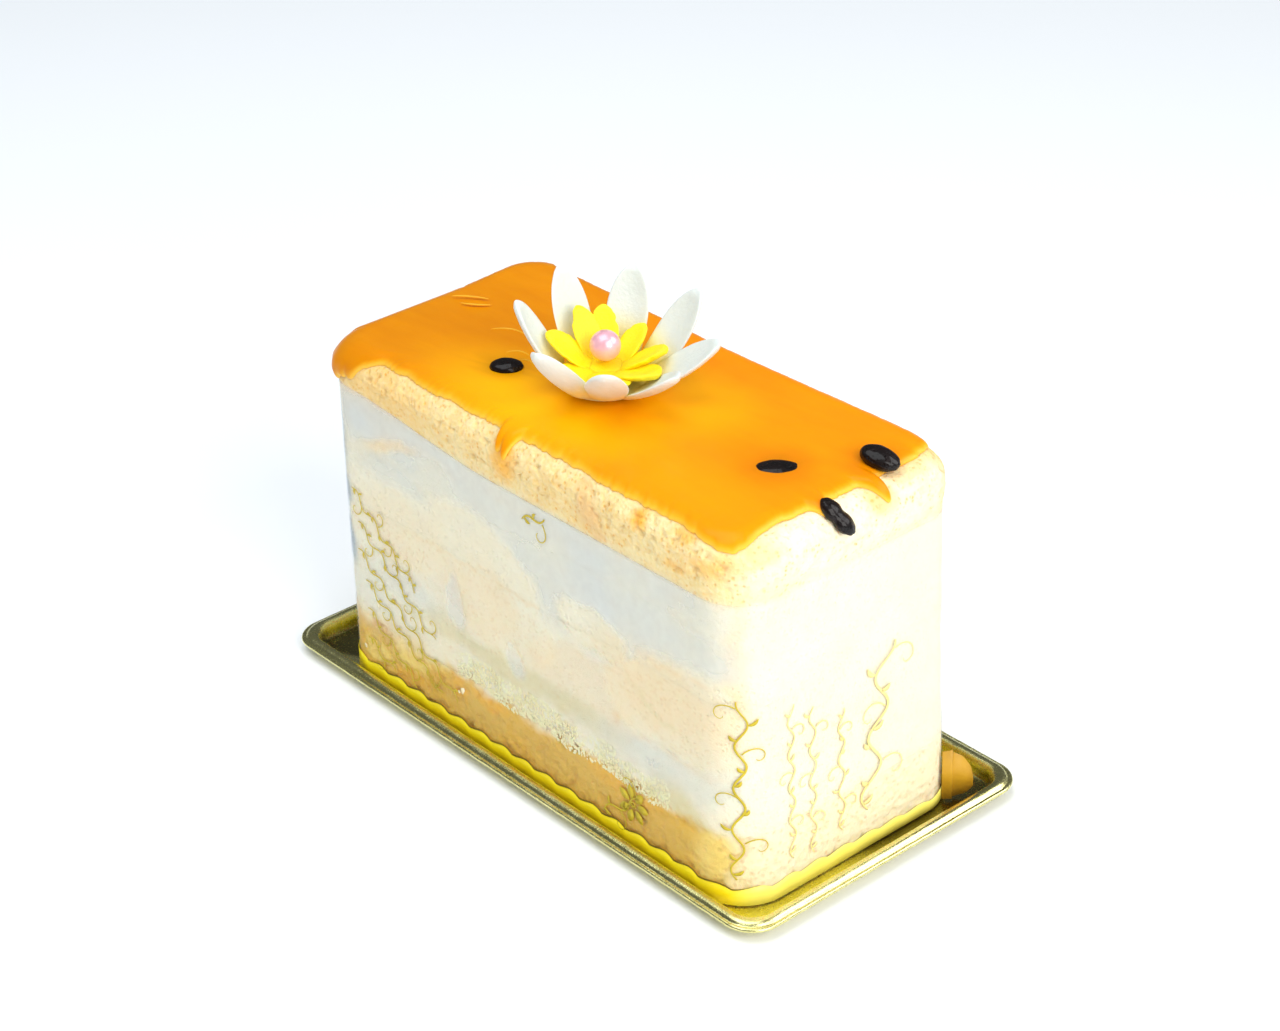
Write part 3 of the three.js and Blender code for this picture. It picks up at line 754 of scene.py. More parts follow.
def layer_material(name, pore_size, pore_amount, roughness):
    """A layer's finish: the side's colours with pores of its own size."""
    material, tree, shader = new_material(name, Roughness=roughness, Specular_IOR_Level=0.15,
                                          Subsurface_Weight=0.2, Subsurface_Scale=0.8 * MM)
    holes = use_group(tree, pores, Size=pore_size, Amount=0.9)
    fine = mottled(tree, pore_size * 0.5, 1.6)
    pitted = mix_colours(tree, maths(tree, "MULTIPLY", (holes, "Mask"), pore_amount),
                         side_of(tree), srgb(214, 166, 96))
    join(tree, pitted, shader, "Base Color")
    add_bump(tree, shader, maths(tree, "ADD", (holes, "Height"), fine), 0.08)
    return material


# %% Sponge and mousse below
LAYERS = [  # piece, seams, rows, pores, node, slot, then finish: pore size and amount, roughness
    ("base_sponge", "foot", "base", 34, crumb_depth, "sponge_base", "sponge",
     ("baked sponge", 1.1, 0.35, 0.85)),
    ("lower_mousse", "base", "lower", 20, mousse_depth, "mousse_lower", "mousse",
     ("soaked mousse", 0.9, 0.12, 0.6)),
    ("middle_sponge", "lower", "middle", 34, mousse_depth, "sponge_middle", "sponge",
     ("moist sponge", 0.8, 0.2, 0.75))]
for name, low, high, rows, depth_of, node, slot, finish in LAYERS:
    piece = layer(name, SEAMS[low], SEAMS[high], rows, depth_of)
    paint_side(piece)
    finish_piece(piece, layer_material(*finish), node)

# %% [markdown]
# Cut cake sheds crumbs, and the mousse catches them while it is soft. They lie just behind the film
# between the sponge and the mousse, small ones far more often than large ones, with a gap where the
# strip was pressed tight. A few air bubbles and one burnt speck are placed one by one.


# %% Loose crumbs
def add_blob(lists, centre, size, squash, seed):
    """Adds a small uneven lump to lists of points and faces."""
    turns = all_angles(9)
    rings = []
    for tilt in np.linspace(-QUARTER, QUARTER, 7)[1:-1]:
        place = points(np.cos(turns) * math.cos(tilt), math.sin(tilt),
                       np.sin(turns) * math.cos(tilt))
        place *= (1 + 0.45 * lumps_at(place, 0.7, seed=seed))[:, None]
        rings.append(np.array(centre) + place * size * (1, squash, 1))
    reach = np.array((0, size[1] * squash, 0))
    add_closed(*lists, rings, centre - reach, centre + reach)


def behind_film(x, z, depth):
    """A point on the long face, so deep behind the film's inner side."""
    return np.array((x, -(CAKE_WIDTH / 2 + flare_at(z)) + BEHIND_FILM + depth, z))


CRUMB_COUNT, CRUMBS_FROM, CRUMBS_TO = 1500, -16, 32
SPARSE_FROM, SPARSE_TO, LEFT_OUT = 12, 17, 0.6  # where the strip was pressed tight
rng = random.Random(11)
crumbs = [], []
for number in range(CRUMB_COUNT):
    x = rng.uniform(CRUMBS_FROM, CRUMBS_TO)
    if SPARSE_FROM < x < SPARSE_TO and rng.random() < LEFT_OUT:
        continue
    size = 0.11 + 0.2 * rng.random() ** 2
    z = 11.3 + 4.6 * rng.random() ** 1.4 + 0.5 * math.sin(x / 2.3) - 0.03 * x
    squash = rng.uniform(0.4, 0.6)
    add_blob(crumbs, behind_film(x, z, size * squash * 1.5),
             size * np.array((1, 1, rng.uniform(1, 1.8))), squash, number)
crumb_cream = two_tone("pale crumb", srgb(246, 238, 196), srgb(238, 220, 164), 2.5,
                       grain=(0.3, 1.5, 0.05), Roughness=0.8, Subsurface_Weight=0.2,
                       Subsurface_Scale=0.4 * MM)
finish_piece(make_object("loose_crumbs", *crumbs), crumb_cream)

# %% Bubbles and a speck
BUBBLES = [  # x and z on the long face, and size
    (-35.7, 14.9, 0.5), (-16.4, 17, 0.3), (-15, 8.8, 0.55), (-16, 8.2, 0.3), (-40, 5.6, 0.35)]
air = [], []
for number, (x, z, size) in enumerate(BUBBLES):
    add_blob(air, behind_film(x, z, 0.12), size * np.array((1, 1, 1.3)), 0.2, number)
bubble_white = two_tone("bright bubble", srgb(255, 246, 214), srgb(250, 226, 160), 0.8,
                        Roughness=0.15, Coat_Weight=0.5)
finish_piece(make_object("trapped_bubbles", *air), bubble_white)
speck = [], []
add_blob(speck, behind_film(-24.3, 26.3, 0.1), 0.3 * np.array((1.3, 1, 0.7)), 0.3, 3)
burnt = two_tone("burnt crumb", srgb(86, 62, 30), srgb(48, 32, 14), 0.3, Roughness=0.7)
finish_piece(make_object("dark_speck", *speck), burnt)

# %% [markdown]
# ## Upper mousse
# The top layer stands above the film, and there it is bare. Lifting it out of its mould tore the
# skin, which left pits and crumbs, so this band gets the densest net of all. Its shoulder is a
# quarter turn from the side to the top, measured as travel along the skin, so that the glaze can
# use the same numbers and lie on it everywhere.


# %% Top and shoulder of the mousse
def mousse_top_at(x, y):
    """Height of the mousse's top: level, but sunk a little at the left end and along the back."""
    left_sag = 0.5 * ramp(-24, -44, x) * ramp(16, 2, y)
    back_sag = 0.5 * ramp(4, 18, y) * bump(np.asarray(x) / 42)
    return MOUSSE_TOP - left_sag - back_sag


def swell_at(stations):
    """How far the side stands out over the film: more where the glaze leaves it bare."""
    core_x, _, facing = stations.T
    bare_side = ramp(0, 0.6, np.maximum(-np.sin(facing), np.cos(facing)))
    bare = bare_side * ramp(-0.95, -0.75, core_x)
    on_front_side = np.maximum(-np.sin(facing), 0)
    return GLAZED_SWELL + (BARE_SWELL - GLAZED_SWELL) * bare * (1 - 0.45 * on_front_side)


def shoulder_ring(stations, travel, lift):
    """Points of the skin at this travel round the shoulder, raised off it by the lift."""
    bend = np.clip(travel / SHOULDER, 0, QUARTER)
    below = np.maximum(travel - SHOULDER * QUARTER, 0)
    inset = SHOULDER - np.minimum(travel, 0) - (SHOULDER + lift) * np.sin(bend)
    out = swell_at(stations) - inset
    tighter = 2.2 * ramp(-0.9, -1, stations[:, 0])  # the left corners are less rounded
    radius = SHOULDER_CORNER - tighter - 0.5 * np.maximum(inset, 0)
    x, y = ring(stations, CAKE_LENGTH / 2 + out, CAKE_WIDTH / 2 + out, radius)
    drop = SHOULDER - (SHOULDER + lift) * np.cos(bend) + below
    return points(x, y, mousse_top_at(x, y) - drop)


# %% [markdown]
# The mousse is smooth under the glaze and torn below it, so the glaze's front is worked out first.
# It is a number for every station: a base for each side, two corners where the jelly ran further,
# drips where it found a low place, and a little noise.

# %% Where the glaze ends
EDGE_BY_SIDE = (1.5, -0.3, 2.4, 3)  # travel round the shoulder at the front, right, back and left
FRONT_DRIPS = [  # middle along the side, half width and run
    (-42.6, 0.8, 1.1), (-39.4, 0.9, 1.5), (-36, 1.4, 0.9), (-2.6, 1.6, 3.4), (-1.2, 1.6, 3.9)]
RIGHT_DRIPS = [(-3.6, 2, 2.4), (5.6, 1.9, 4.2)]


def glaze_edge(stations):
    """Travel at which the glaze ends at each station."""
    facing_x, facing_y = np.cos(stations[:, 2]), np.sin(stations[:, 2])
    front, right_side, back_side, left = EDGE_BY_SIDE
    base = (front * np.maximum(-facing_y, 0) ** 2 + right_side * np.maximum(facing_x, 0) ** 2
            + back_side * np.maximum(facing_y, 0) ** 2 + left * np.maximum(-facing_x, 0) ** 2)
    start = shoulder_ring(stations, 0, 0)
    x, y = start[:, 0], start[:, 1]
    corner = 4.2 * ramp(-31, -38, x) * ramp(6, -10, y) + 1.6 * ramp(35, 41, x) * ramp(-12, -17, y)
    drips = 0
    for middle, half, run in FRONT_DRIPS:
        drips = np.maximum(drips, run * bump((x - middle) / half) * np.maximum(-facing_y, 0))
    for middle, half, run in RIGHT_DRIPS:
        drips = np.maximum(drips, run * bump((y - middle) / half) * ramp(0.5, 1, facing_x))
    angle = np.degrees(np.angle(np.exp(1j * (stations[:, 2] + math.pi / 4))))
    near_corner = 0.6 * bump(angle / 32)
    frayed = 0.25 + 0.5 * ramp(-30, -38, x)
    ragged = 0.35 * lumps_at(start, 2.4, seed=8) + frayed * lumps_at(start, 0.7, seed=9)
    return base + corner + near_corner + drips + ragged


# %% Upper mousse shape
def torn_depth(places):
    """How deep the bare band is pitted, from wide dents down to single bubbles."""
    dents = 0.22 * ramp(-0.4, 0.5, lumps_at(places, 3.2, seed=5))
    grain = 0.16 * ramp(-0.3, 0.5, lumps_at(places, 0.75, seed=6))
    holes = 0.45 * ramp(0.25, 0.6, lumps_at(places, 1.3, seed=7))
    return dents + grain + holes


def pushed_in(places, stations, bend, depth):
    """Places moved inwards by a depth; bend says how far round the shoulder the skin faces up."""
    facing = stations[:, 2]
    inward = points(-np.cos(facing) * np.sin(bend), -np.sin(facing) * np.sin(bend), -np.cos(bend))
    return places + inward * depth[:, None]


def upper_mousse_rings():
    """Rings from the seam up behind the film, out over its edge and round the shoulder."""
    stations = stations_round(200, 84, 30)
    edge = wall_ring(stations, 40, BEHIND_FILM)
    rim = film_top_at(stations[:, 0] * CAKE_LENGTH / 2)
    bottom = SEAMS["middle"](edge[:, 0], edge[:, 1]) + 0.01
    rings = [seam_ring(stations, SEAMS["middle"], share, 0.02) for share in CAP_SHARES]
    for share in (0, 0.004, *np.linspace(0, 1, 22)[1:]):
        height = bottom + (rim - bottom) * share
        depth = mousse_depth(wall_ring(stations, height, BEHIND_FILM))
        rings.append(wall_ring(stations, height, BEHIND_FILM + depth * (1 - share ** 6)))
    start = shoulder_ring(stations, SHOULDER * QUARTER, 0)[:, 2]
    swell, front = swell_at(stations), glaze_edge(stations)
    for share in np.linspace(0.06, 1, 22):
        height = rim + (start - rim) * share
        over = ramp(0, 3.6, height - rim)
        out = -BEHIND_FILM + (swell + BEHIND_FILM) * over
        radius = FILM_CORNER - BEHIND_FILM + (SHOULDER_CORNER - FILM_CORNER + BEHIND_FILM) * over
        x, y = ring(stations, CAKE_LENGTH / 2 + out, CAKE_WIDTH / 2 + out, radius)
        place = points(x, y, height)
        rings.append(pushed_in(place, stations, QUARTER, torn_depth(place) * over))
    for share in np.linspace(0.96, 0, 26):
        travel = SHOULDER * QUARTER * share
        place = shoulder_ring(stations, travel, 0)
        open_air = 0.12 + 0.88 * ramp(0, 1.8, travel - front)
        rings.append(pushed_in(place, stations, travel / SHOULDER, torn_depth(place) * open_air))
    flat = shoulder_ring(stations, 0, 0)
    for share in (0.97, 0.93, 0.85, 0.6, 0.3):
        x, y = flat[:, 0] * share, flat[:, 1] * share
        place = points(x, y, mousse_top_at(x, y))
        rings.append(pushed_in(place, stations, 0, torn_depth(place)))
    return rings


upper_mousse = skin("upper_mousse", upper_mousse_rings(), (0, 0, MIDDLE_TOP + 0.02),
                    (0, 0, MOUSSE_TOP - 0.3))

# %% [markdown]
# Mousse is cream, sugar and fruit, so it is nearly white with a warm cast, and light goes a little
# way into it. Orange juice from the glaze has run into its pores near the top edge and dried in a
# few blots. Blots are listed as stains, because noise alone would put them anywhere.

# %% Stains on the bare band
JUICE = [
    on_front(26.6, 55.4, 1.6, 1.2, soft=0.6, strength=0.8),
    on_front(35, 56.4, 2, 1, soft=0.6, strength=0.6),
    on_front(-1.8, 53.6, 2.4, 3.4, soft=0.8, strength=0.75),
    on_front(-1.2, 55, 1.1, 1, soft=0.5, strength=0.9),
    on_front(40.5, 53.4, 3, 1.2, soft=0.8, strength=0.5),
    on_front(43.5, 54.6, 3, 1.2, soft=0.8, strength=0.5),
    on_front(34.5, 51.5, 2, 0.7, soft=0.8, strength=0.5),
    on_front(-40, 57, 5, 1.6, soft=0.8, strength=0.5),
    on_front(-34, 54.5, 15, 6, soft=0.9, strength=0.3),
    on_front(4, 54, 20, 5, soft=0.9, strength=0.08),
    on_side(-16, 55.6, 3, 1.4, strength=0.35), on_side(5.4, 55.6, 2.6, 2, strength=0.5),
    on_side(12, 57, 4.2, 1, soft=0.8, strength=0.4)]
BLUSH = [
    on_front(16.8, 52.4, 2, 3.2, 28, soft=0.6, strength=0.6),
    on_front(15.2, 55.6, 1.6, 0.8, soft=0.5, strength=0.6),
    on_front(18.4, 50, 1.6, 1.2, soft=0.5, strength=0.5)]
# Painted light: the bare band on the short side is painted whiter, where the window washes it out.
TOP_BAND_GLARE = [on_side(0, 54, 24, 6, strength=0.8)]
paint_side(upper_mousse)
places = wobbled(upper_mousse, 2.5, 0.6)
write_mask(upper_mousse, "Bare", ramp(-0.8, 1.2, places[:, 2] - film_top_at(places[:, 0] - CAKE_X)))
write_mask(upper_mousse, "Juice", stain_at(places, all_round(JUICE)))
write_mask(upper_mousse, "Blush", stain_at(places, BLUSH))
write_mask(upper_mousse, "Top Band Glare", stain_at(places, TOP_BAND_GLARE))

# %% Upper mousse finish
cream, tree, shader = new_material("bare mousse", Roughness=0.7, Specular_IOR_Level=0.3,
                                   Subsurface_Weight=0.25, Subsurface_Scale=1.2 * MM)
shader.inputs["Subsurface Radius"].default_value = (1, 0.7, 0.4)
wide = mottled(tree, 3.5, 1.8)
fine = mottled(tree, 0.7, 1.8)
holes = use_group(tree, pores, Size=0.8, Amount=0.9)
juicy = mottled(tree, 2.2, 3.2)
uncovered = read_mask(tree, "Bare")
bare = mix_colours(tree, wide, srgb(241, 217, 152), srgb(238, 202, 120))
# Painted light on the short side's bare band.
glared_top = mix_colours(tree, read_mask(tree, "Top Band Glare"), bare, srgb(248, 242, 220))
body = mix_colours(tree, uncovered, side_of(tree), glared_top)
lit_grain = maths(tree, "MULTIPLY", maths(tree, "MULTIPLY", fine, 0.6), uncovered)
grained = mix_colours(tree, lit_grain, body, srgb(250, 238, 200))
in_pores = maths(tree, "ADD", maths(tree, "MULTIPLY", (holes, "Mask"), 0.75), 0.16)
tinted = maths(tree, "MULTIPLY", maths(tree, "MULTIPLY", in_pores, juicy), uncovered)
pitted = mix_colours(tree, tinted, grained, srgb(236, 168, 56))
juiced = mix_colours(tree, read_mask(tree, "Juice"), pitted, srgb(250, 174, 24))
blushed = mix_colours(tree, read_mask(tree, "Blush"), juiced, srgb(236, 184, 120))
join(tree, blushed, shader, "Base Color")
add_bump(tree, shader, maths(tree, "ADD", (holes, "Height"), fine), 0.12)
finish_piece(upper_mousse, cream, "mousse_upper")

# %% [markdown]
# ## Glaze and seeds
# A jelly glaze is poured on while it is warm. It levels itself, and stops at the front that is
# worked out above. Its skin goes out along the mousse, turns at the front and comes back over the
# top. Seeds sit in the jelly, which is darker round them because they keep light out of it.

# %% Glaze shape
CLOSE = 0.03  # how near the glaze's underside lies to the mousse
EDGE_RING = 11  # which of the rings lies at the glaze's front, counted from 0


def glaze_rings():
    """Rings out along the mousse, round the rounded edge and back over the top."""
    stations = stations_round(260, 110, 30)
    edge = glaze_edge(stations)
    start = np.minimum(edge - 2, 0)
    start = np.min([np.roll(start, step) for step in range(-4, 5)], axis=0)
    start = np.mean([np.roll(start, step) for step in range(-4, 5)], axis=0)  # no sudden steps
    seen = np.maximum(-np.sin(stations[:, 2]), np.cos(stations[:, 2]))
    taper = 1.2 + 2 * ramp(-0.2, 0.6, seen)  # it thins out slowly at the front and the right

    def flat(share, top):
        inner = shoulder_ring(stations, start, 0)
        x, y = inner[:, 0] * share, inner[:, 1] * share
        lift = GAP + GLAZE_THICKNESS if top else CLOSE
        swing = 0.12 * lumps_at(points(x, y, 0), 14, seed=10) if top else 0
        return points(x, y, mousse_top_at(x, y) + lift + swing)

    def sloped(share, top):
        travel = start + (edge - start) * share
        if not top:
            return shoulder_ring(stations, travel, CLOSE)
        near = np.clip((edge - travel) / taper, 0, 1)
        body = 0.1 + 0.9 * np.sqrt(1 - (1 - near) ** 2)
        thickness = (GAP + GLAZE_THICKNESS) * body * (1 - 0.35 * ramp(0, 4, travel) * (seen > 0))
        return shoulder_ring(stations, travel, thickness)

    under = [flat(share, False) for share in (0.5, 0.9)]
    under += [sloped(share, False) for share in np.linspace(0, 1, 8)]
    front = [sloped(1, True) * share + sloped(1, False) * (1 - share) for share in (0.35, 0.75)]
    over = [sloped(share, True) for share in 1 - np.linspace(0, 1, 22) ** 1.5]
    inward = (0.97, 0.92, 0.84, 0.76, 0.67, 0.58, 0.49, 0.4, 0.3, 0.2, 0.1)
    over += [flat(share, True) for share in inward]
    return under + front + over


def thin_at(rings):
    """1 at the glaze's very edge and 0 inside, for every point of the rings and the two poles."""
    gaps = [np.linalg.norm(one - rings[EDGE_RING], axis=1) for one in rings]
    return np.concatenate([1 - ramp(0, 1.6, gap) for gap in gaps] + [np.zeros(2)])


rings = glaze_rings()
glaze = skin("jelly_glaze", rings, (0, 0, MOUSSE_TOP + CLOSE),
             (0, 0, MOUSSE_TOP + GAP + GLAZE_THICKNESS))
glaze_thin = 0.8 * thin_at(rings)

# %% Places of the seeds
SEEDS = [  # x and y from the cake's middle, z, length, width, thickness, turn, lean
    ("seed_left", -16.4, -8.7, CAKE_TOP + 0.1, 5, 4, 2.2, 40, 0),
    ("seed_sunk", 32.7, -1.3, CAKE_TOP - 0.45, 6.6, 4.4, 1.8, 45, 0),
    ("seed_right", 41.4, 9.6, CAKE_TOP + 0.5, 6, 4.2, 2.8, 15, 12),
    ("seed_edge", 45.8, -2.7, CAKE_TOP - 1.9, 6.4, 3.6, 2.4, 30, 46)]


# %% Glaze finish
def jelly_material(name):
    """Orange jelly: a deep colour under a thin wet coat, painted lighter towards the window and
    darker round the seeds.
    """
    material, tree, shader = new_material(
        name, Roughness=0.34, Specular_IOR_Level=0.08, Coat_Weight=0.06, Coat_Roughness=0.12,
        Subsurface_Weight=0.12, Subsurface_Scale=1.5 * MM)
    shader.inputs["Subsurface Radius"].default_value = (1, 0.45, 0.05)
    wide = mottled(tree, 17, 1.6)
    brushed = use_group(tree, drawn, Grain=(0.16, 0.9, 0.5))
    near = read_mask(tree, "Window Side")
    # Painted light: the jelly is painted brighter towards the window on the right and darker away
    # from it.
    away_from_window_tone = mix_colours(tree, wide, srgb(218, 130, 0), srgb(206, 116, 0))
    window_lit_tone = mix_colours(tree, wide, srgb(252, 144, 0), srgb(246, 130, 0))
    body = mix_colours(tree, near, away_from_window_tone, window_lit_tone)
    glowing = mix_colours(tree, read_mask(tree, "Glow"), body, srgb(255, 184, 0))
    streaked = mix_colours(tree, maths(tree, "MULTIPLY", (brushed, "Value"), 0.35), glowing,
                           srgb(248, 166, 0))
    rim = read_mask(tree, "Thin")
    thin = mix_colours(tree, rim, streaked, srgb(252, 184, 24))
    thin = mix_colours(tree, maths(tree, "POWER", rim, 3), thin, srgb(250, 206, 96))
    shaded = mix_colours(tree, read_mask(tree, "Halo"), thin, srgb(168, 98, 0))
    join(tree, shaded, shader, "Base Color")
    add_bump(tree, shader, mottled(tree, 6, 1.2), 0.1)
    return material


# Rows of stains, as stain_at takes them: the dark rings round the seeds, and the lit patches.
HALOS = [(CAKE_X + x, CAKE_Y + y, z, length * 0.7, length * 0.7, 3, 0, 0, 0.6, 0.5)
         for _, x, y, z, length, _, _, _, _ in SEEDS[:3]]
GLOWS = [(CAKE_X - 4, CAKE_Y - 12, CAKE_TOP, 18, 8, 4, 0, 0, 0.8, 0.95),
         (CAKE_X + 8, CAKE_Y + 2, CAKE_TOP, 10, 8, 4, 0, 0, 0.8, 0.9),
         (CAKE_X + 28, CAKE_Y - 14, CAKE_TOP, 16, 5, 4, 0, 0, 0.9, 0.25)]


def paint_jelly(piece, thin):
    """Writes the painted light towards the window and in lit patches, where the jelly is thin, and
    the painted shade round a seed.
    """
    places = wobbled(piece, 6, 0.7)
    write_mask(piece, "Window Side", ramp(-52, 46, places[:, 0] + 0.3 * places[:, 1]))
    write_mask(piece, "Halo", stain_at(places, HALOS))
    write_mask(piece, "Glow", stain_at(places, GLOWS))
    write_mask(piece, "Thin", thin)


jelly = jelly_material("orange jelly")
paint_jelly(glaze, glaze_thin)
finish_piece(glaze, jelly, "glaze")

# %% [markdown]
# Jelly that was touched while it set has a few low wrinkles. A bump only changes how a surface is
# shaded, and on a wet flat top that is too little to see. So each wrinkle is a thin ridge of its
# own, half sunk in the glaze, with the same finish.


# %% Creases in the jelly's skin
def tube(line, radii, sides=10):
    """Rings round a line of points, as wide as the radii."""
    line = np.asarray(line, float)
    rings = []
    for k, radius in enumerate(radii):
        ahead = line[min(k + 1, len(line) - 1)] - line[max(k - 1, 0)]
        ahead /= np.linalg.norm(ahead)
        side = np.cross(ahead, (0, 0, 1))
        side /= np.linalg.norm(side)
        lift = np.cross(side, ahead)
        turn = all_angles(sides)[:, None]
        rings.append(line[k] + radius * (np.cos(turn) * side + np.sin(turn) * lift))
    return rings


def crease(name, middle, length, bow, turn):
    """A low curved ridge, half sunk in the glaze."""
    share = np.linspace(-1, 1, 24)
    x, y = share * length / 2, bow * (1 - share ** 2)
    cosine, sine = math.cos(math.radians(turn)), math.sin(math.radians(turn))
    line = points(middle[0] + x * cosine - y * sine, middle[1] + x * sine + y * cosine,
                  CAKE_TOP - 0.02)
    radii = 0.16 * np.sqrt(1 - share ** 2) + 0.01
    return skin(name, tube(line, radii), line[0], line[-1])


CREASES = [  # x and y from the cake's middle, length, bow and turn
    (-25.5, -1.2, 5.5, 0.9, 28), (-18.6, -4.9, 3.8, 0.9, 28), (-15.6, -5.6, 3, 0.5, 8),
    (-38.8, 2.2, 6, 0.3, 34), (-36.4, 1.4, 5, -0.3, 36)]
for number, (x, y, length, bow, turn) in enumerate(CREASES):
    ridge = crease(f"jelly_crease_{number + 1}", (x, y), length, bow, turn)
    paint_jelly(ridge, np.full(len(ridge.data.vertices), 0.6))
    finish_piece(ridge, jelly)

# %% [markdown]
# Passion-fruit seeds are flat black ovals, finely dimpled, and wet with juice. Each is a squashed
# ball turned and leaned into its place. The dimples are a bump, and a thin coat makes them wet.


# %% Seeds
def seed_shape(name, x, y, z, length, width, thickness, turn, lean):
    """A flat oval seed, dimpled all over; the one on the edge has a waist."""
    waist = 0.22 if name == "seed_edge" else 0
    turns = all_angles(36)
    rings = []
    for tilt in np.linspace(-QUARTER, QUARTER, 26)[1:-1]:
        along_seed = np.sin(tilt)
        size = np.cos(tilt) * (1 - waist * math.exp(-(along_seed / 0.25) ** 2))
        place = points(along_seed, size * np.cos(turns), size * np.sin(turns))
        place *= 1 + 0.05 * lumps_at(place, 0.35, seed=11)[:, None]
        rings.append(place * (length / 2, width / 2, thickness / 2))
    pose = np.array(Matrix.Translation((x, y, z)) @ Matrix.Rotation(math.radians(turn), 4, "Z")
                    @ Matrix.Rotation(math.radians(lean), 4, "Y"))
    rings = [one @ pose[:3, :3].T + pose[:3, 3] for one in rings]
    ends = [np.array((side * length / 2, 0, 0)) @ pose[:3, :3].T + pose[:3, 3]
            for side in (-1, 1)]
    return skin(name, rings, *ends)


seed_black, tree, shader = new_material("wet black seed", Roughness=0.5, Coat_Weight=0.3,
                                        Coat_Roughness=0.05, Specular_IOR_Level=0.15)
dimples = use_group(tree, pores, Size=0.5, Amount=0.9)
dark = mix_colours(tree, mottled(tree, 1.4, 1.8), srgb(5, 3, 2), srgb(24, 11, 11))
join(tree, dark, shader, "Base Color")
add_bump(tree, shader, (dimples, "Height"), 0.2)
for values in SEEDS:
    finish_piece(seed_shape(*values), seed_black)

# %% [markdown]
# ## Sugar flower
# The flower is moulded from sugar paste: eight white petals on a disc, eight small yellow ones on a
# boss above it, and a pink pearl. A petal is a path that starts level on the disc, bends up at a
# ring and curls at its tip. Its section is a cupped, rounded strip that gets wider and then closes
# in a blunt tip. No two petals are alike, and each is given as a short row.

# %% Petals and discs
DISC_FOOT = CAKE_TOP + GAP
DISC_TOP = DISC_FOOT + 1.2
BOSS_FOOT = DISC_TOP + GAP
BOSS_TOP = BOSS_FOOT + 1.9
LAP = 0.13  # every second petal's root lies this much higher, so that neighbours overlap
WHITE_PETAL = dict(root=2.8, ring_at=6.2, height=DISC_FOOT + 0.57, root_share=0.8,
                   thickness=1.1, curl=20, torn=0)
WHITE_PETALS = [  # direction, length, tilt, twist, cup, width
    (173, 14.8, 72, 0, 2, 6), (118, 14, 66, -4, 2.2, 6.7), (62, 14.5, 59, 20, 2.2, 6.7),
    (27, 14.2, 38, 24, 2, 5.8), (356, 12.9, 34, 12, 2, 5.8), (320, 13.6, 42, -5, 1, 6.2),
    (283, 14.4, 50, 4, 2.2, 6.5), (226, 13.8, 65, -8, 2, 5.8)]
YELLOW_PETAL = dict(root=0.9, ring_at=2.2, height=BOSS_FOOT + 0.75, root_share=0.6,
                    thickness=1.1, curl=12, torn=0.3)
YELLOW_PETALS = [
    (173, 8.8, 58, 0, 1.4, 4.4), (141, 8.5, 50, -10, 1.4, 4.4), (88, 7, 45, 0, 1.4, 4.2),
    (38, 7.8, 30, 0, 1.4, 4.6), (4, 8.8, 18, 0, 1.4, 5.8), (322, 8.2, 12, 0, 1, 7),
    (272, 7.4, 18, -8, 1, 6.6), (220, 8.2, 42, -8, 1.4, 5)]


def petal_shape(along, root_share, widest=0.56):
    """Width of a petal along its length, as a share of its full width."""
    if along < widest:
        return root_share + (1 - root_share) * float(ramp(0, widest, along))
    return (1 - ((along - widest) / (1 - widest)) ** 2.2) ** 0.62


def turned_about(vector, axis, angle):
    """A vector turned about a unit axis at right angles to it."""
    return vector * math.cos(angle) + np.cross(axis, vector) * math.sin(angle)


def petal_rings(direction, length, tilt, twist, cup, width, place, root, ring_at, height,
                root_share, thickness, curl, torn):
    """Rings of one petal and its two end points, before it is placed on the cake."""
    steps, across = 34, 22
    total = ring_at - root + length
    centre = np.array([root, 0, height + LAP * (place % 2)])
    first = centre.copy()
    rings = []
    v, face = np.cos(all_angles(across)), np.sin(all_angles(across))
    shares = 1 - (1 - np.linspace(0, 1, steps)) ** 1.5
    for k, along in enumerate(shares):
        bend = float(ramp(ring_at - root - 1.2, ring_at - root + 2, along * total))
        pitch = math.radians(bend * (tilt - curl / 2) + along * along * curl)
        forward = np.array([math.cos(pitch), 0, math.sin(pitch)])
        roll = math.radians(twist * bend)
        side = turned_about(np.array([0, 1.0, 0]), forward, roll)
        inward = turned_about(np.array([-math.sin(pitch), 0, math.cos(pitch)]), forward, roll)
        if k:
            centre = centre + forward * total * (along - shares[k - 1])
        if k == steps - 1:
            break
        half = width / 2 * petal_shape(along, root_share)
        near_tip = torn * float(ramp(0.3, 0.9, along))
        tear = lumps_at(points(along * 9 + direction, np.sign(v) * 3, 0), 0.8, seed=12)
        fray = half * (1 - near_tip * np.clip(tear, 0, 1) * np.abs(v))
        raise_by = cup * v * v * bend * (half / width)
        blunt = thickness / 2 * face * min(1, 2.2 * (half / (width / 2)))
        rings.append(centre + side * (v * fray)[:, None] + inward * (raise_by + blunt)[:, None])
    return rings, first, centre


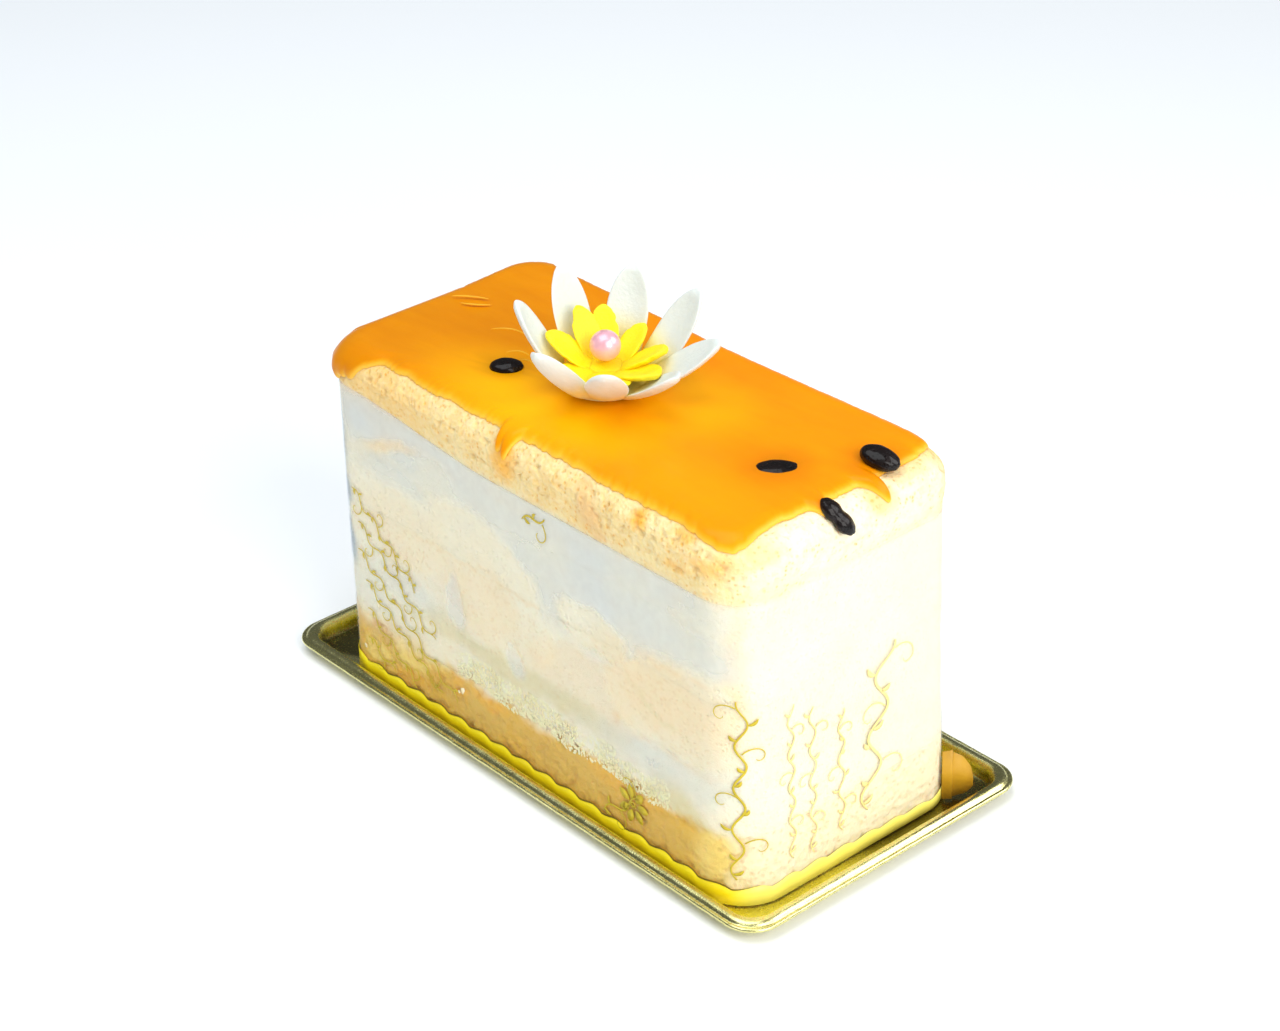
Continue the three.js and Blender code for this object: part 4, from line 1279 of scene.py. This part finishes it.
def flower_part(name, style, petals, section):
    """One object of several petals round a turned disc."""
    places, faces = [], []
    for place, petal in enumerate(petals):
        rings, first, last = petal_rings(*petal, place, **style)
        turn = math.radians(petal[0])
        spin = np.array([[math.cos(turn), -math.sin(turn), 0],
                         [math.sin(turn), math.cos(turn), 0], [0, 0, 1]])
        add_closed(places, faces, [one @ spin.T for one in rings], first @ spin.T, last @ spin.T)
    turns = all_angles(48)
    line = smooth_line(section, 5)
    rings = [points(radius * np.cos(turns), radius * np.sin(turns), height)
             for radius, height in line[1:-1]]
    add_closed(places, faces, rings, (0, 0, line[0][1]), (0, 0, line[-1][1]))
    places = np.concatenate(places)
    bumps = 0.05 * lumps_at(places, 1.5, seed=13) + 0.02 * lumps_at(places, 0.5, seed=14)
    away = places / (1e-6 + np.linalg.norm(places, axis=1))[:, None]
    return make_object(name, [places + away * bumps[:, None]], faces, shift=(FLOWER_X, FLOWER_Y, 0))


def sugar_material(name, light, shade, scatter, grain, glow, bounce):
    """Moulded sugar paste: matt, a little see-through, with light from below in two masks."""
    material, tree, shader = new_material(name, Roughness=0.5, Specular_IOR_Level=0.35,
                                          Subsurface_Weight=0.3, Subsurface_Scale=0.9 * MM)
    shader.inputs["Subsurface Radius"].default_value = scatter
    wide = mottled(tree, 3.5, 1.4)
    fine = mottled(tree, grain, 1.6)
    tone = mix_colours(tree, wide, light, shade)
    inner = mix_colours(tree, read_mask(tree, "Inner"), tone, glow)
    lower = mix_colours(tree, read_mask(tree, "Lower"), inner, bounce)
    join(tree, lower, shader, "Base Color")
    add_bump(tree, shader, fine, 0.05)
    return material


def paint_flower(piece, inner, height):
    """Writes where the yellow heart shines on a petal, and where the jelly shines from below."""
    places = wobbled(piece, 3, 0.4) - (FLOWER_X, FLOWER_Y, DISC_TOP)
    away = np.hypot(places[:, 0], places[:, 1])
    write_mask(piece, "Inner", inner * ramp(13, 7, away + 0.5 * places[:, 2]))
    write_mask(piece, "Lower", 0.5 * ramp(height, -1.2, places[:, 2]) * ramp(5, 8, away))


white_flower = flower_part("white_petals", WHITE_PETAL, WHITE_PETALS, [
    (0, DISC_FOOT), (5.5, DISC_FOOT), (6.15, DISC_FOOT + 0.53), (5.6, DISC_FOOT + 1.02),
    (4, DISC_TOP), (0, DISC_TOP)])
paint_flower(white_flower, 0.8, 1.6)
finish_piece(white_flower, sugar_material(
    "white sugar paste", srgb(225, 229, 224), srgb(216, 221, 215), (1, 0.9, 0.8), 0.5,
    srgb(255, 236, 90), srgb(240, 236, 226)), "flower_outer")
yellow_flower = flower_part("yellow_petals", YELLOW_PETAL, YELLOW_PETALS, [
    (0, BOSS_FOOT), (3.2, BOSS_FOOT + 0.1), (5.7, BOSS_FOOT + 1), (5.9, BOSS_FOOT + 1.35),
    (5.3, BOSS_FOOT + 1.5), (3, BOSS_FOOT + 1.35), (2, BOSS_FOOT + 1.6), (0, BOSS_TOP)])
paint_flower(yellow_flower, 0.4, 0)
finish_piece(yellow_flower, sugar_material(
    "yellow sugar paste", srgb(255, 236, 40), srgb(254, 220, 10), (1, 0.8, 0.1), 0.35,
    srgb(255, 214, 0), srgb(255, 196, 0)), "flower_inner")

# %% [markdown]
# The pearl is a sugar ball with a shell that shimmers. A little metal in the shader and a soft coat
# give it that look, and the mottle keeps it from being a perfect ball of plastic.

# %% Pearl
turns = all_angles(64)
pearl_z = BOSS_TOP + GAP + PEARL_RADIUS
pearl_rings = [points(PEARL_RADIUS * math.cos(tilt) * np.cos(turns),
                      PEARL_RADIUS * math.cos(tilt) * np.sin(turns),
                      pearl_z + PEARL_RADIUS * math.sin(tilt))
               for tilt in np.linspace(-QUARTER, QUARTER, 34)[1:-1]]
pearl = skin("sugar_pearl", pearl_rings, (0, 0, pearl_z - PEARL_RADIUS),
             (0, 0, pearl_z + PEARL_RADIUS), shift=(FLOWER_X, FLOWER_Y, 0))
pearl_pink = two_tone("pearly pink shell", srgb(250, 196, 206), srgb(238, 170, 186), 1.4, 1.6,
                      grain=(0.3, 1.2, 0.02), Roughness=0.3, Metallic=0.25, Coat_Weight=0.6,
                      Coat_Roughness=0.15)
finish_piece(pearl, pearl_pink, "pearl")

# %% [markdown]
# ## Film
# A strip of clear film keeps the cake in shape. It is made as a closed band with a real thickness,
# because a single sheet has no edge to catch the light. Where it touches the cake it can't be seen,
# and where it stands off it, it is misty and pale, so the mist is what draws the film.

# %% Film shape
FRONT_RUN = CAKE_LENGTH - 2 * FILM_CORNER
SIDE_RUN = CAKE_WIDTH - 2 * FILM_CORNER
CORNER_RUN = FILM_CORNER * QUARTER
FILM_ROUND = 2 * FRONT_RUN + 2 * SIDE_RUN + 4 * CORNER_RUN


def film_station(distance):
    """(core x, core y, facing) at a distance along the film, from the front left corner's end."""
    rest = distance % FILM_ROUND
    for (start, end, facing), run in zip(SIDES, (FRONT_RUN, SIDE_RUN) * 2):
        if rest < run:
            return (*between(start, end, rest / run), facing)
        rest -= run
        if rest < CORNER_RUN:
            return (*end, facing + QUARTER * rest / CORNER_RUN)
        rest -= CORNER_RUN
    return (*SIDES[0][0], -QUARTER)


def on_film(distances, heights, proud):
    """Points on the film's outer face, standing proud of it by so much."""
    return wall_ring(np.array([film_station(distance) for distance in distances]), heights, -proud)


def film_rings():
    """Rings up the outer face and down the inner one."""
    distances = np.arange(0, FILM_ROUND, 0.5)
    stations = np.array([film_station(distance) for distance in distances])
    top = film_top_at(stations[:, 0] * CAKE_LENGTH / 2)
    away = points(np.cos(stations[:, 2]), np.sin(stations[:, 2]), 0)
    heights = [FILM_FOOT + (top - FILM_FOOT) * share for share in np.linspace(0, 1, 90)]
    rings = []
    for height in heights:
        one = on_film(distances, height, 0)
        wave = 0.05 * (1 + lumps_at(one * (1, 1, 0.35), 7, seed=15))
        rings.append(one + away * (wave * ramp(0, 3, one[:, 2] - FILM_FOOT))[:, None])
    return rings + [on_film(distances, height, -FILM_THICKNESS) for height in reversed(heights)]


film = skin("clear_film", film_rings())

# %% [markdown]
# Where the film stands off the cake there is mist behind it, and where the cake touches it the mist
# is gone. Both are stains. Bluish strips near the film's left and far right edges mirror the sky.

# %% Mist behind the film
MIST = [
    on_front(0, 46.5, 47, 5.6, soft=0.7), on_front(-29, 39.9, 10, 3, soft=0.8, strength=0.8),
    on_front(22, 40, 26, 5.4, soft=0.6), on_front(8, 36, 5, 6, 20, soft=0.8, strength=0.8),
    on_front(19, 31.5, 5, 2, 22, soft=0.8, strength=0.7), on_front(24, 34, 3, 2, 40, soft=0.8),
    on_front(-15.5, 24.6, 4.6, 4.6, -6, taper=1.2, soft=0.25, strength=0.8),
    on_front(-1.6, 20.6, 3.2, 2.8, 24, taper=0.8, soft=0.25, strength=0.8),
    on_front(-27, 21.4, 10, 2.4, soft=0.9, strength=0.7),
    on_front(29.5, 18.2, 15, 3.4, 4, soft=0.8, strength=0.65),
    on_front(-36, 47, 7, 5, soft=0.7), on_front(-36, 16, 7, 5, soft=0.9, strength=0.3),
    on_front(-4, 26, 40, 10, soft=0.9, strength=0.2),
    on_side(20.5, 38, 3, 16, soft=0.9, strength=0.8), on_side(21, 14, 2, 8, soft=0.9, strength=0.5),
    on_side(14, 44, 12, 8, soft=0.8, strength=0.4), on_side(15, 22, 10, 9, soft=0.8, strength=0.5),
    on_side(2, 33, 16, 9, soft=0.9, strength=0.25)]
CONTACT = [
    on_front(-29.5, 44.8, 7.5, 1, 17, soft=0.6, strength=0.7),
    on_front(-29, 32.3, 10.5, 5.4, soft=0.5), on_front(-8, 35, 11.5, 5, -14, soft=0.4),
    on_front(16.4, 33.6, 7.4, 3.2, -4, soft=0.35), on_front(35, 29, 13, 6.8, 10, soft=0.4),
    on_front(-4, 26.5, 11, 6, soft=0.4, strength=0.4),
    on_front(-20, 45, 5, 2, soft=0.9, strength=0.4)]
STRIPS = [on_front(-44.5, 41, 3, 7, soft=0.5, strength=0.8),
          on_front(-43.5, 32.5, 2.8, 3, soft=0.5), on_front(-44, 23.6, 3.8, 4.2, 20, soft=0.5),
          on_side(23, 36, 1.6, 17, soft=0.9, strength=0.45)]
places = wobbled(film, 4, 0.7)
strip_mask = stain_at(places, STRIPS)
touching = stain_at(places, all_round(CONTACT))
misty_mask = np.maximum(stain_at(places, all_round(MIST)) - touching, strip_mask)
write_mask(film, "Mist", np.clip(misty_mask, 0, 1))
write_mask(film, "Strip", strip_mask)

# %% Film finish
clear_film, tree, shader = new_material("clear film", Roughness=0.12, Specular_IOR_Level=0.5)
open_patches, strips = read_mask(tree, "Mist"), read_mask(tree, "Strip")
cloud = mottled(tree, 9, 2)
fine = mottled(tree, 1.6, 1.2)
grained = maths(tree, "ADD", maths(tree, "MULTIPLY", cloud, 0.3),
                maths(tree, "MULTIPLY", fine, 0.2))
misty = maths(tree, "MULTIPLY", open_patches, maths(tree, "ADD", grained, 0.62), clamp=True)
edge_on = add_node(tree, "LayerWeight", Blend=0.25)
haze = maths(tree, "MULTIPLY", (edge_on, "Facing"), 0.06)
base = maths(tree, "ADD", haze, 0.005)
alpha = maths(tree, "ADD", maths(tree, "MULTIPLY", misty, 0.45), base, clamp=True)
join(tree, alpha, shader, "Alpha")
pale = mix_colours(tree, cloud, srgb(246, 246, 236), srgb(236, 240, 238))
tone = mix_colours(tree, strips, pale, srgb(158, 182, 206))
join(tree, tone, shader, "Base Color")
add_bump(tree, shader, cloud, 0.05)
finish_piece(film, clear_film, "film_collar")

# %% [markdown]
# ## Print on the film
# The print is ink, a few hundredths of a millimetre thick, so it is made as thin closed ribbons on
# the film's outer face. Drawing happens on the unrolled film, with a distance along it and a height,
# and every stroke is then wrapped round the cake. Vines are waves with leaves and curls on both
# sides.

# %% Strokes on the unrolled film
ink = [], []  # points and faces of the strokes that aren't yet made into a piece


def stroke(line, widths, low=0.13, high=0.17):
    """A ribbon along a line of (distance, height), as wide as the widths, both ends closed."""
    line = np.asarray(line, float)
    ahead = np.gradient(line, axis=0)
    ahead /= np.linalg.norm(ahead, axis=1)[:, None] + 1e-9
    across = np.stack([-ahead[:, 1], ahead[:, 0]], axis=1) * np.asarray(widths)[:, None] / 2
    left_side, right_side = line + across, line - across
    rows = [on_film(side[:, 0], side[:, 1], proud) for side, proud in (
        (right_side, low), (right_side, high), (left_side, high), (left_side, low))]
    rings = list(np.stack(rows, axis=1))
    add_closed(*ink, rings, rings[0].mean(axis=0), rings[-1].mean(axis=0))


def printed(name, material):
    """One piece of all the strokes drawn since the last one."""
    finish_piece(make_object(name, *ink), material)
    for drawn_so_far in ink:
        drawn_so_far.clear()


def lens(start, angle, length, width, bow=0.15):
    """A leaf: a pointed oval that starts at a point and bows a little."""
    share = np.linspace(0, 1, 9)
    side = bow * length * np.sin(math.pi * share)
    cosine, sine = math.cos(angle), math.sin(angle)
    along = share * length
    line = np.stack([start[0] + along * cosine - side * sine,
                     start[1] + along * sine + side * cosine], axis=1)
    stroke(line, width * np.sin(math.pi * share) ** 0.8 + 0.03)


def curl(start, angle, size, hand, width=0.2):
    """A tendril that winds into a small spiral; hand is 1 or -1."""
    share = np.linspace(0, 1, 26)
    turn = angle + hand * 5.2 * share ** 1.3
    step = size * 0.16 * (1 - 0.75 * share)
    line = np.cumsum(np.stack([np.cos(turn) * step, np.sin(turn) * step], axis=1), axis=0)
    stroke(line + np.array(start), width * (1 - 0.6 * share))


def vine(start, end, sway, leaves, scale, rng):
    """A wavy stem from start to end with leaves and curls on alternate sides."""
    start, end = np.array(start, float), np.array(end, float)
    reach = end - start
    length = np.linalg.norm(reach)
    ahead = reach / length
    side = np.array([-ahead[1], ahead[0]])
    waves = max(length / (7.5 * scale), 1)
    share = np.linspace(0, 1, int(length * 3) + 8)
    swing = sway * np.sin(2 * math.pi * waves * share)
    line = start + share[:, None] * reach + swing[:, None] * side
    stroke(line, 0.36 * scale * (0.7 + 0.3 * np.sin(math.pi * share)))
    heading = math.atan2(ahead[1], ahead[0])
    for k in range(leaves):
        at = (k + 0.5) / leaves
        spot = line[int(at * (len(line) - 1))]
        hand = 1 if k % 2 else -1
        turn = heading + hand * rng.uniform(0.7, 1.2)
        if k % 3 == 2:
            curl(spot, turn, 2.6 * scale, hand)
        else:
            lens(spot, turn, rng.uniform(1.2, 1.9) * scale, 0.55 * scale, 0.2 * hand)


def blossom(centre, size, petals, rng):
    """A small daisy of round petals with an open middle."""
    for k in range(petals):
        angle = 2 * math.pi * k / petals + rng.uniform(-0.1, 0.1)
        start = (centre[0] + 0.28 * size * math.cos(angle), centre[1] + 0.28 * size * math.sin(angle))
        lens(start, angle, size * 0.75, size * 0.42, 0)
    share = np.linspace(0, 2 * math.pi, 16)
    middle = np.stack([centre[0] + 0.13 * size * np.cos(share),
                       centre[1] + 0.13 * size * np.sin(share)], axis=1)
    stroke(middle, np.full(16, 0.2))

# %% [markdown]
# The long side has slanting vines on its left, one upright vine at the corner, a sprig with a daisy
# and a small curl near the top. The short side has upright ones in a paler ink, because the light
# washes it out. All but the sprig and the curl come back half a turn round, on the hidden sides.

# %% Vines, sprig and blossom
rng = random.Random(7)
HALFWAY = FRONT_RUN / 2  # distance along the film to the middle of the long side
SLANTING = [  # both ends of each stem: distance from that middle, and height
    ((-40, 34), (-25, 22)), ((-39, 28.5), (-21, 15)), ((-39.5, 23.5), (-16, 6.5)),
    ((-38, 18.5), (-20, 6)), ((-38, 13.5), (-26, 4.6)), ((-38.5, 8), (-32, 4.6))]
for half_round in (0, FILM_ROUND / 2):
    for number, (start, end) in enumerate(SLANTING):
        vine((start[0] + HALFWAY + half_round, start[1]), (end[0] + HALFWAY + half_round, end[1]),
             0.7, 14 - 2 * number, 0.7, rng)
    corner = FRONT_RUN + 0.45 * CORNER_RUN + half_round
    vine((corner, 5), (corner + 1, 34), 0.8, 12, 0.9, rng)
vine((HALFWAY + 2, 45.6), (HALFWAY + 7, 47.4), 0.5, 3, 0.9, rng)
vine((HALFWAY + 18, 4.2), (HALFWAY + 26, 9.6), 0.7, 6, 0.9, rng)
blossom((HALFWAY + 24.5, 8.4), 3.2, 7, rng)


def gold_ink(name, light, dark):
    """Printed gold ink in two tones."""
    return two_tone(name, light, dark, 6, grain=(0.5, 1.5, 0.03), Roughness=0.5)


printed("film_print", gold_ink("gold ink", srgb(214, 190, 40), srgb(188, 164, 22)))

# %% Vines on the short sides
AROUND = FRONT_RUN + CORNER_RUN
UPRIGHT = [(2.5, 6, 31), (6.5, 5, 29), (12, 6, 26)]  # distance along the side, foot and top
for half_round in (0, FILM_ROUND / 2):
    for offset, low, high in UPRIGHT:
        vine((AROUND + offset + half_round, low), (AROUND + offset + half_round, high), 0.6, 10,
             0.7, rng)
    vine((AROUND + 17 + half_round, 7), (AROUND + 21 + half_round, 33), 1.6, 9, 1.25, rng)
printed("side_print", gold_ink("pale gold ink", srgb(250, 234, 160), srgb(244, 222, 132)))

# %% [markdown]
# The film's foot has a yellow band with a scalloped top edge. It is a thin closed skin like the
# film itself, and its scallops are a height for every step along it. An olive outline follows them
# on the two long sides and fades out round the corners, as the printing does.

# %% Scalloped band at the foot
SCALLOPS = 50


def band_top(distance):
    """Height of the band's scalloped top edge, which is highest on the long printed side."""
    pitch = FILM_ROUND / SCALLOPS
    share = (distance / pitch) % 1
    scallop = math.sin(math.pi * share ** 1.6)
    rest = distance % FILM_ROUND
    along_side = np.interp(rest, [FRONT_RUN, FRONT_RUN + 2 * CORNER_RUN + SIDE_RUN,
                                  FILM_ROUND - SIDE_RUN - 2 * CORNER_RUN, FILM_ROUND], [0, 1, 1, 0])
    return 3.4 - 1.4 * along_side + (0.65 - 0.35 * along_side) * scallop


distances = np.linspace(0, FILM_ROUND, SCALLOPS * 14, endpoint=False)
tops = np.array([band_top(distance) for distance in distances])
bottom = np.full(len(distances), 0.62)
band = skin("foot_band", [on_film(distances, height, proud) for height, proud in (
    (bottom, 0.12), (bottom, 0.17), ((bottom + tops) / 2, 0.17), (tops, 0.17), (tops, 0.12))])
foot_yellow, tree, shader = new_material("yellow printed band", Roughness=0.4)
cloud = mottled(tree, 8, 1.6)
# Painted light: the band is painted paler on the short side, where the window washes it out.
write_mask(band, "Short Side Glare", ramp(RIGHT_X - 3, RIGHT_X, wobbled(band, 3, 0.5)[:, 0]))
tone = mix_colours(tree, cloud, srgb(255, 236, 20), srgb(246, 216, 10))
tone = mix_colours(tree, read_mask(tree, "Short Side Glare"), tone, srgb(255, 240, 110))
join(tree, tone, shader, "Base Color")
add_bump(tree, shader, mottled(tree, 0.6, 1.2), 0.03)
finish_piece(band, foot_yellow)

# %% Outline of the band
long_side = distances < FRONT_RUN + 0.7 * CORNER_RUN
back_side = abs(distances - FILM_ROUND / 2 - FRONT_RUN / 2 - CORNER_RUN / 2) < FRONT_RUN / 2 + 5
for side in (long_side, back_side):
    steps = distances[side]
    fading = ramp(0, 5, steps - steps[0]) * ramp(0, 5, steps[-1] - steps)
    stroke(np.stack([steps, tops[side]], axis=1), 0.02 + 0.24 * fading, 0.17, 0.2)
printed("band_outline", two_tone("olive ink", srgb(138, 110, 10), srgb(112, 88, 6), 5, 1.6,
                                 Roughness=0.5))

# %% [markdown]
# ## Loose end of the film
# The strip's end isn't stuck down. It springs off at the far corner, leans out over the tray and
# shows its gold print, with a nick in its top edge. It is a thin closed flap along a bent path.

# %% Loose end of the film
FLAP_PATH = [(0, 0), (0.9, 1.1), (0.6, 1.7), (1.5, 3.2), (2, 4.5)]
FLAP_TOP = [0, 0.28, 0.36, 0.44, 0.7, 0.88, 1], [9, 9.3, 7.6, 8.8, 7.6, 5.8, 3.6]
FLAP_FOOT = [0, 0.3, 0.36, 0.5, 0.8, 1], [0.8, 0.7, 1.4, 0.7, 1.1, 2]
FLAP_THICKNESS = 0.1


def flap_rings():
    """Rings along the flap, each round its section from the foot to the top and back."""
    corner = np.array([FRONT_RUN + 1.3 * CORNER_RUN + SIDE_RUN])
    root = on_film(corner, np.array([1.0]), 0.3)[0]
    path = smooth_line(FLAP_PATH, 8)
    share = np.linspace(0, 1, len(path))
    top, foot = np.interp(share, *FLAP_TOP), np.interp(share, *FLAP_FOOT)
    middle = (foot + top) / 2
    ahead = np.gradient(path, axis=0)
    ahead /= np.linalg.norm(ahead, axis=1)[:, None]
    outward = np.stack([ahead[:, 1], -ahead[:, 0]], axis=1) * FLAP_THICKNESS / 2
    rows = []
    for side, height in ((-1, foot), (1, foot), (1, middle), (1, top), (-1, top), (-1, middle)):
        x, y = (path + side * outward).T
        rows.append(points(root[0] + x, root[1] + y, height))
    return list(np.stack(rows, axis=1))


rings = flap_rings()
film_end = skin("film_end", rings, rings[0].mean(axis=0), rings[-1].mean(axis=0))
finish_piece(film_end, gold_ink("gold on the loose end", srgb(222, 170, 40), srgb(176, 124, 14)))

# %% [markdown]
# ## Size and finish
# The dressed part must fill the same box as the solids, so the box of the shown pieces is worked
# out.

# %% Size of the dressed part
bpy.context.view_layer.update()
low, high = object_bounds()
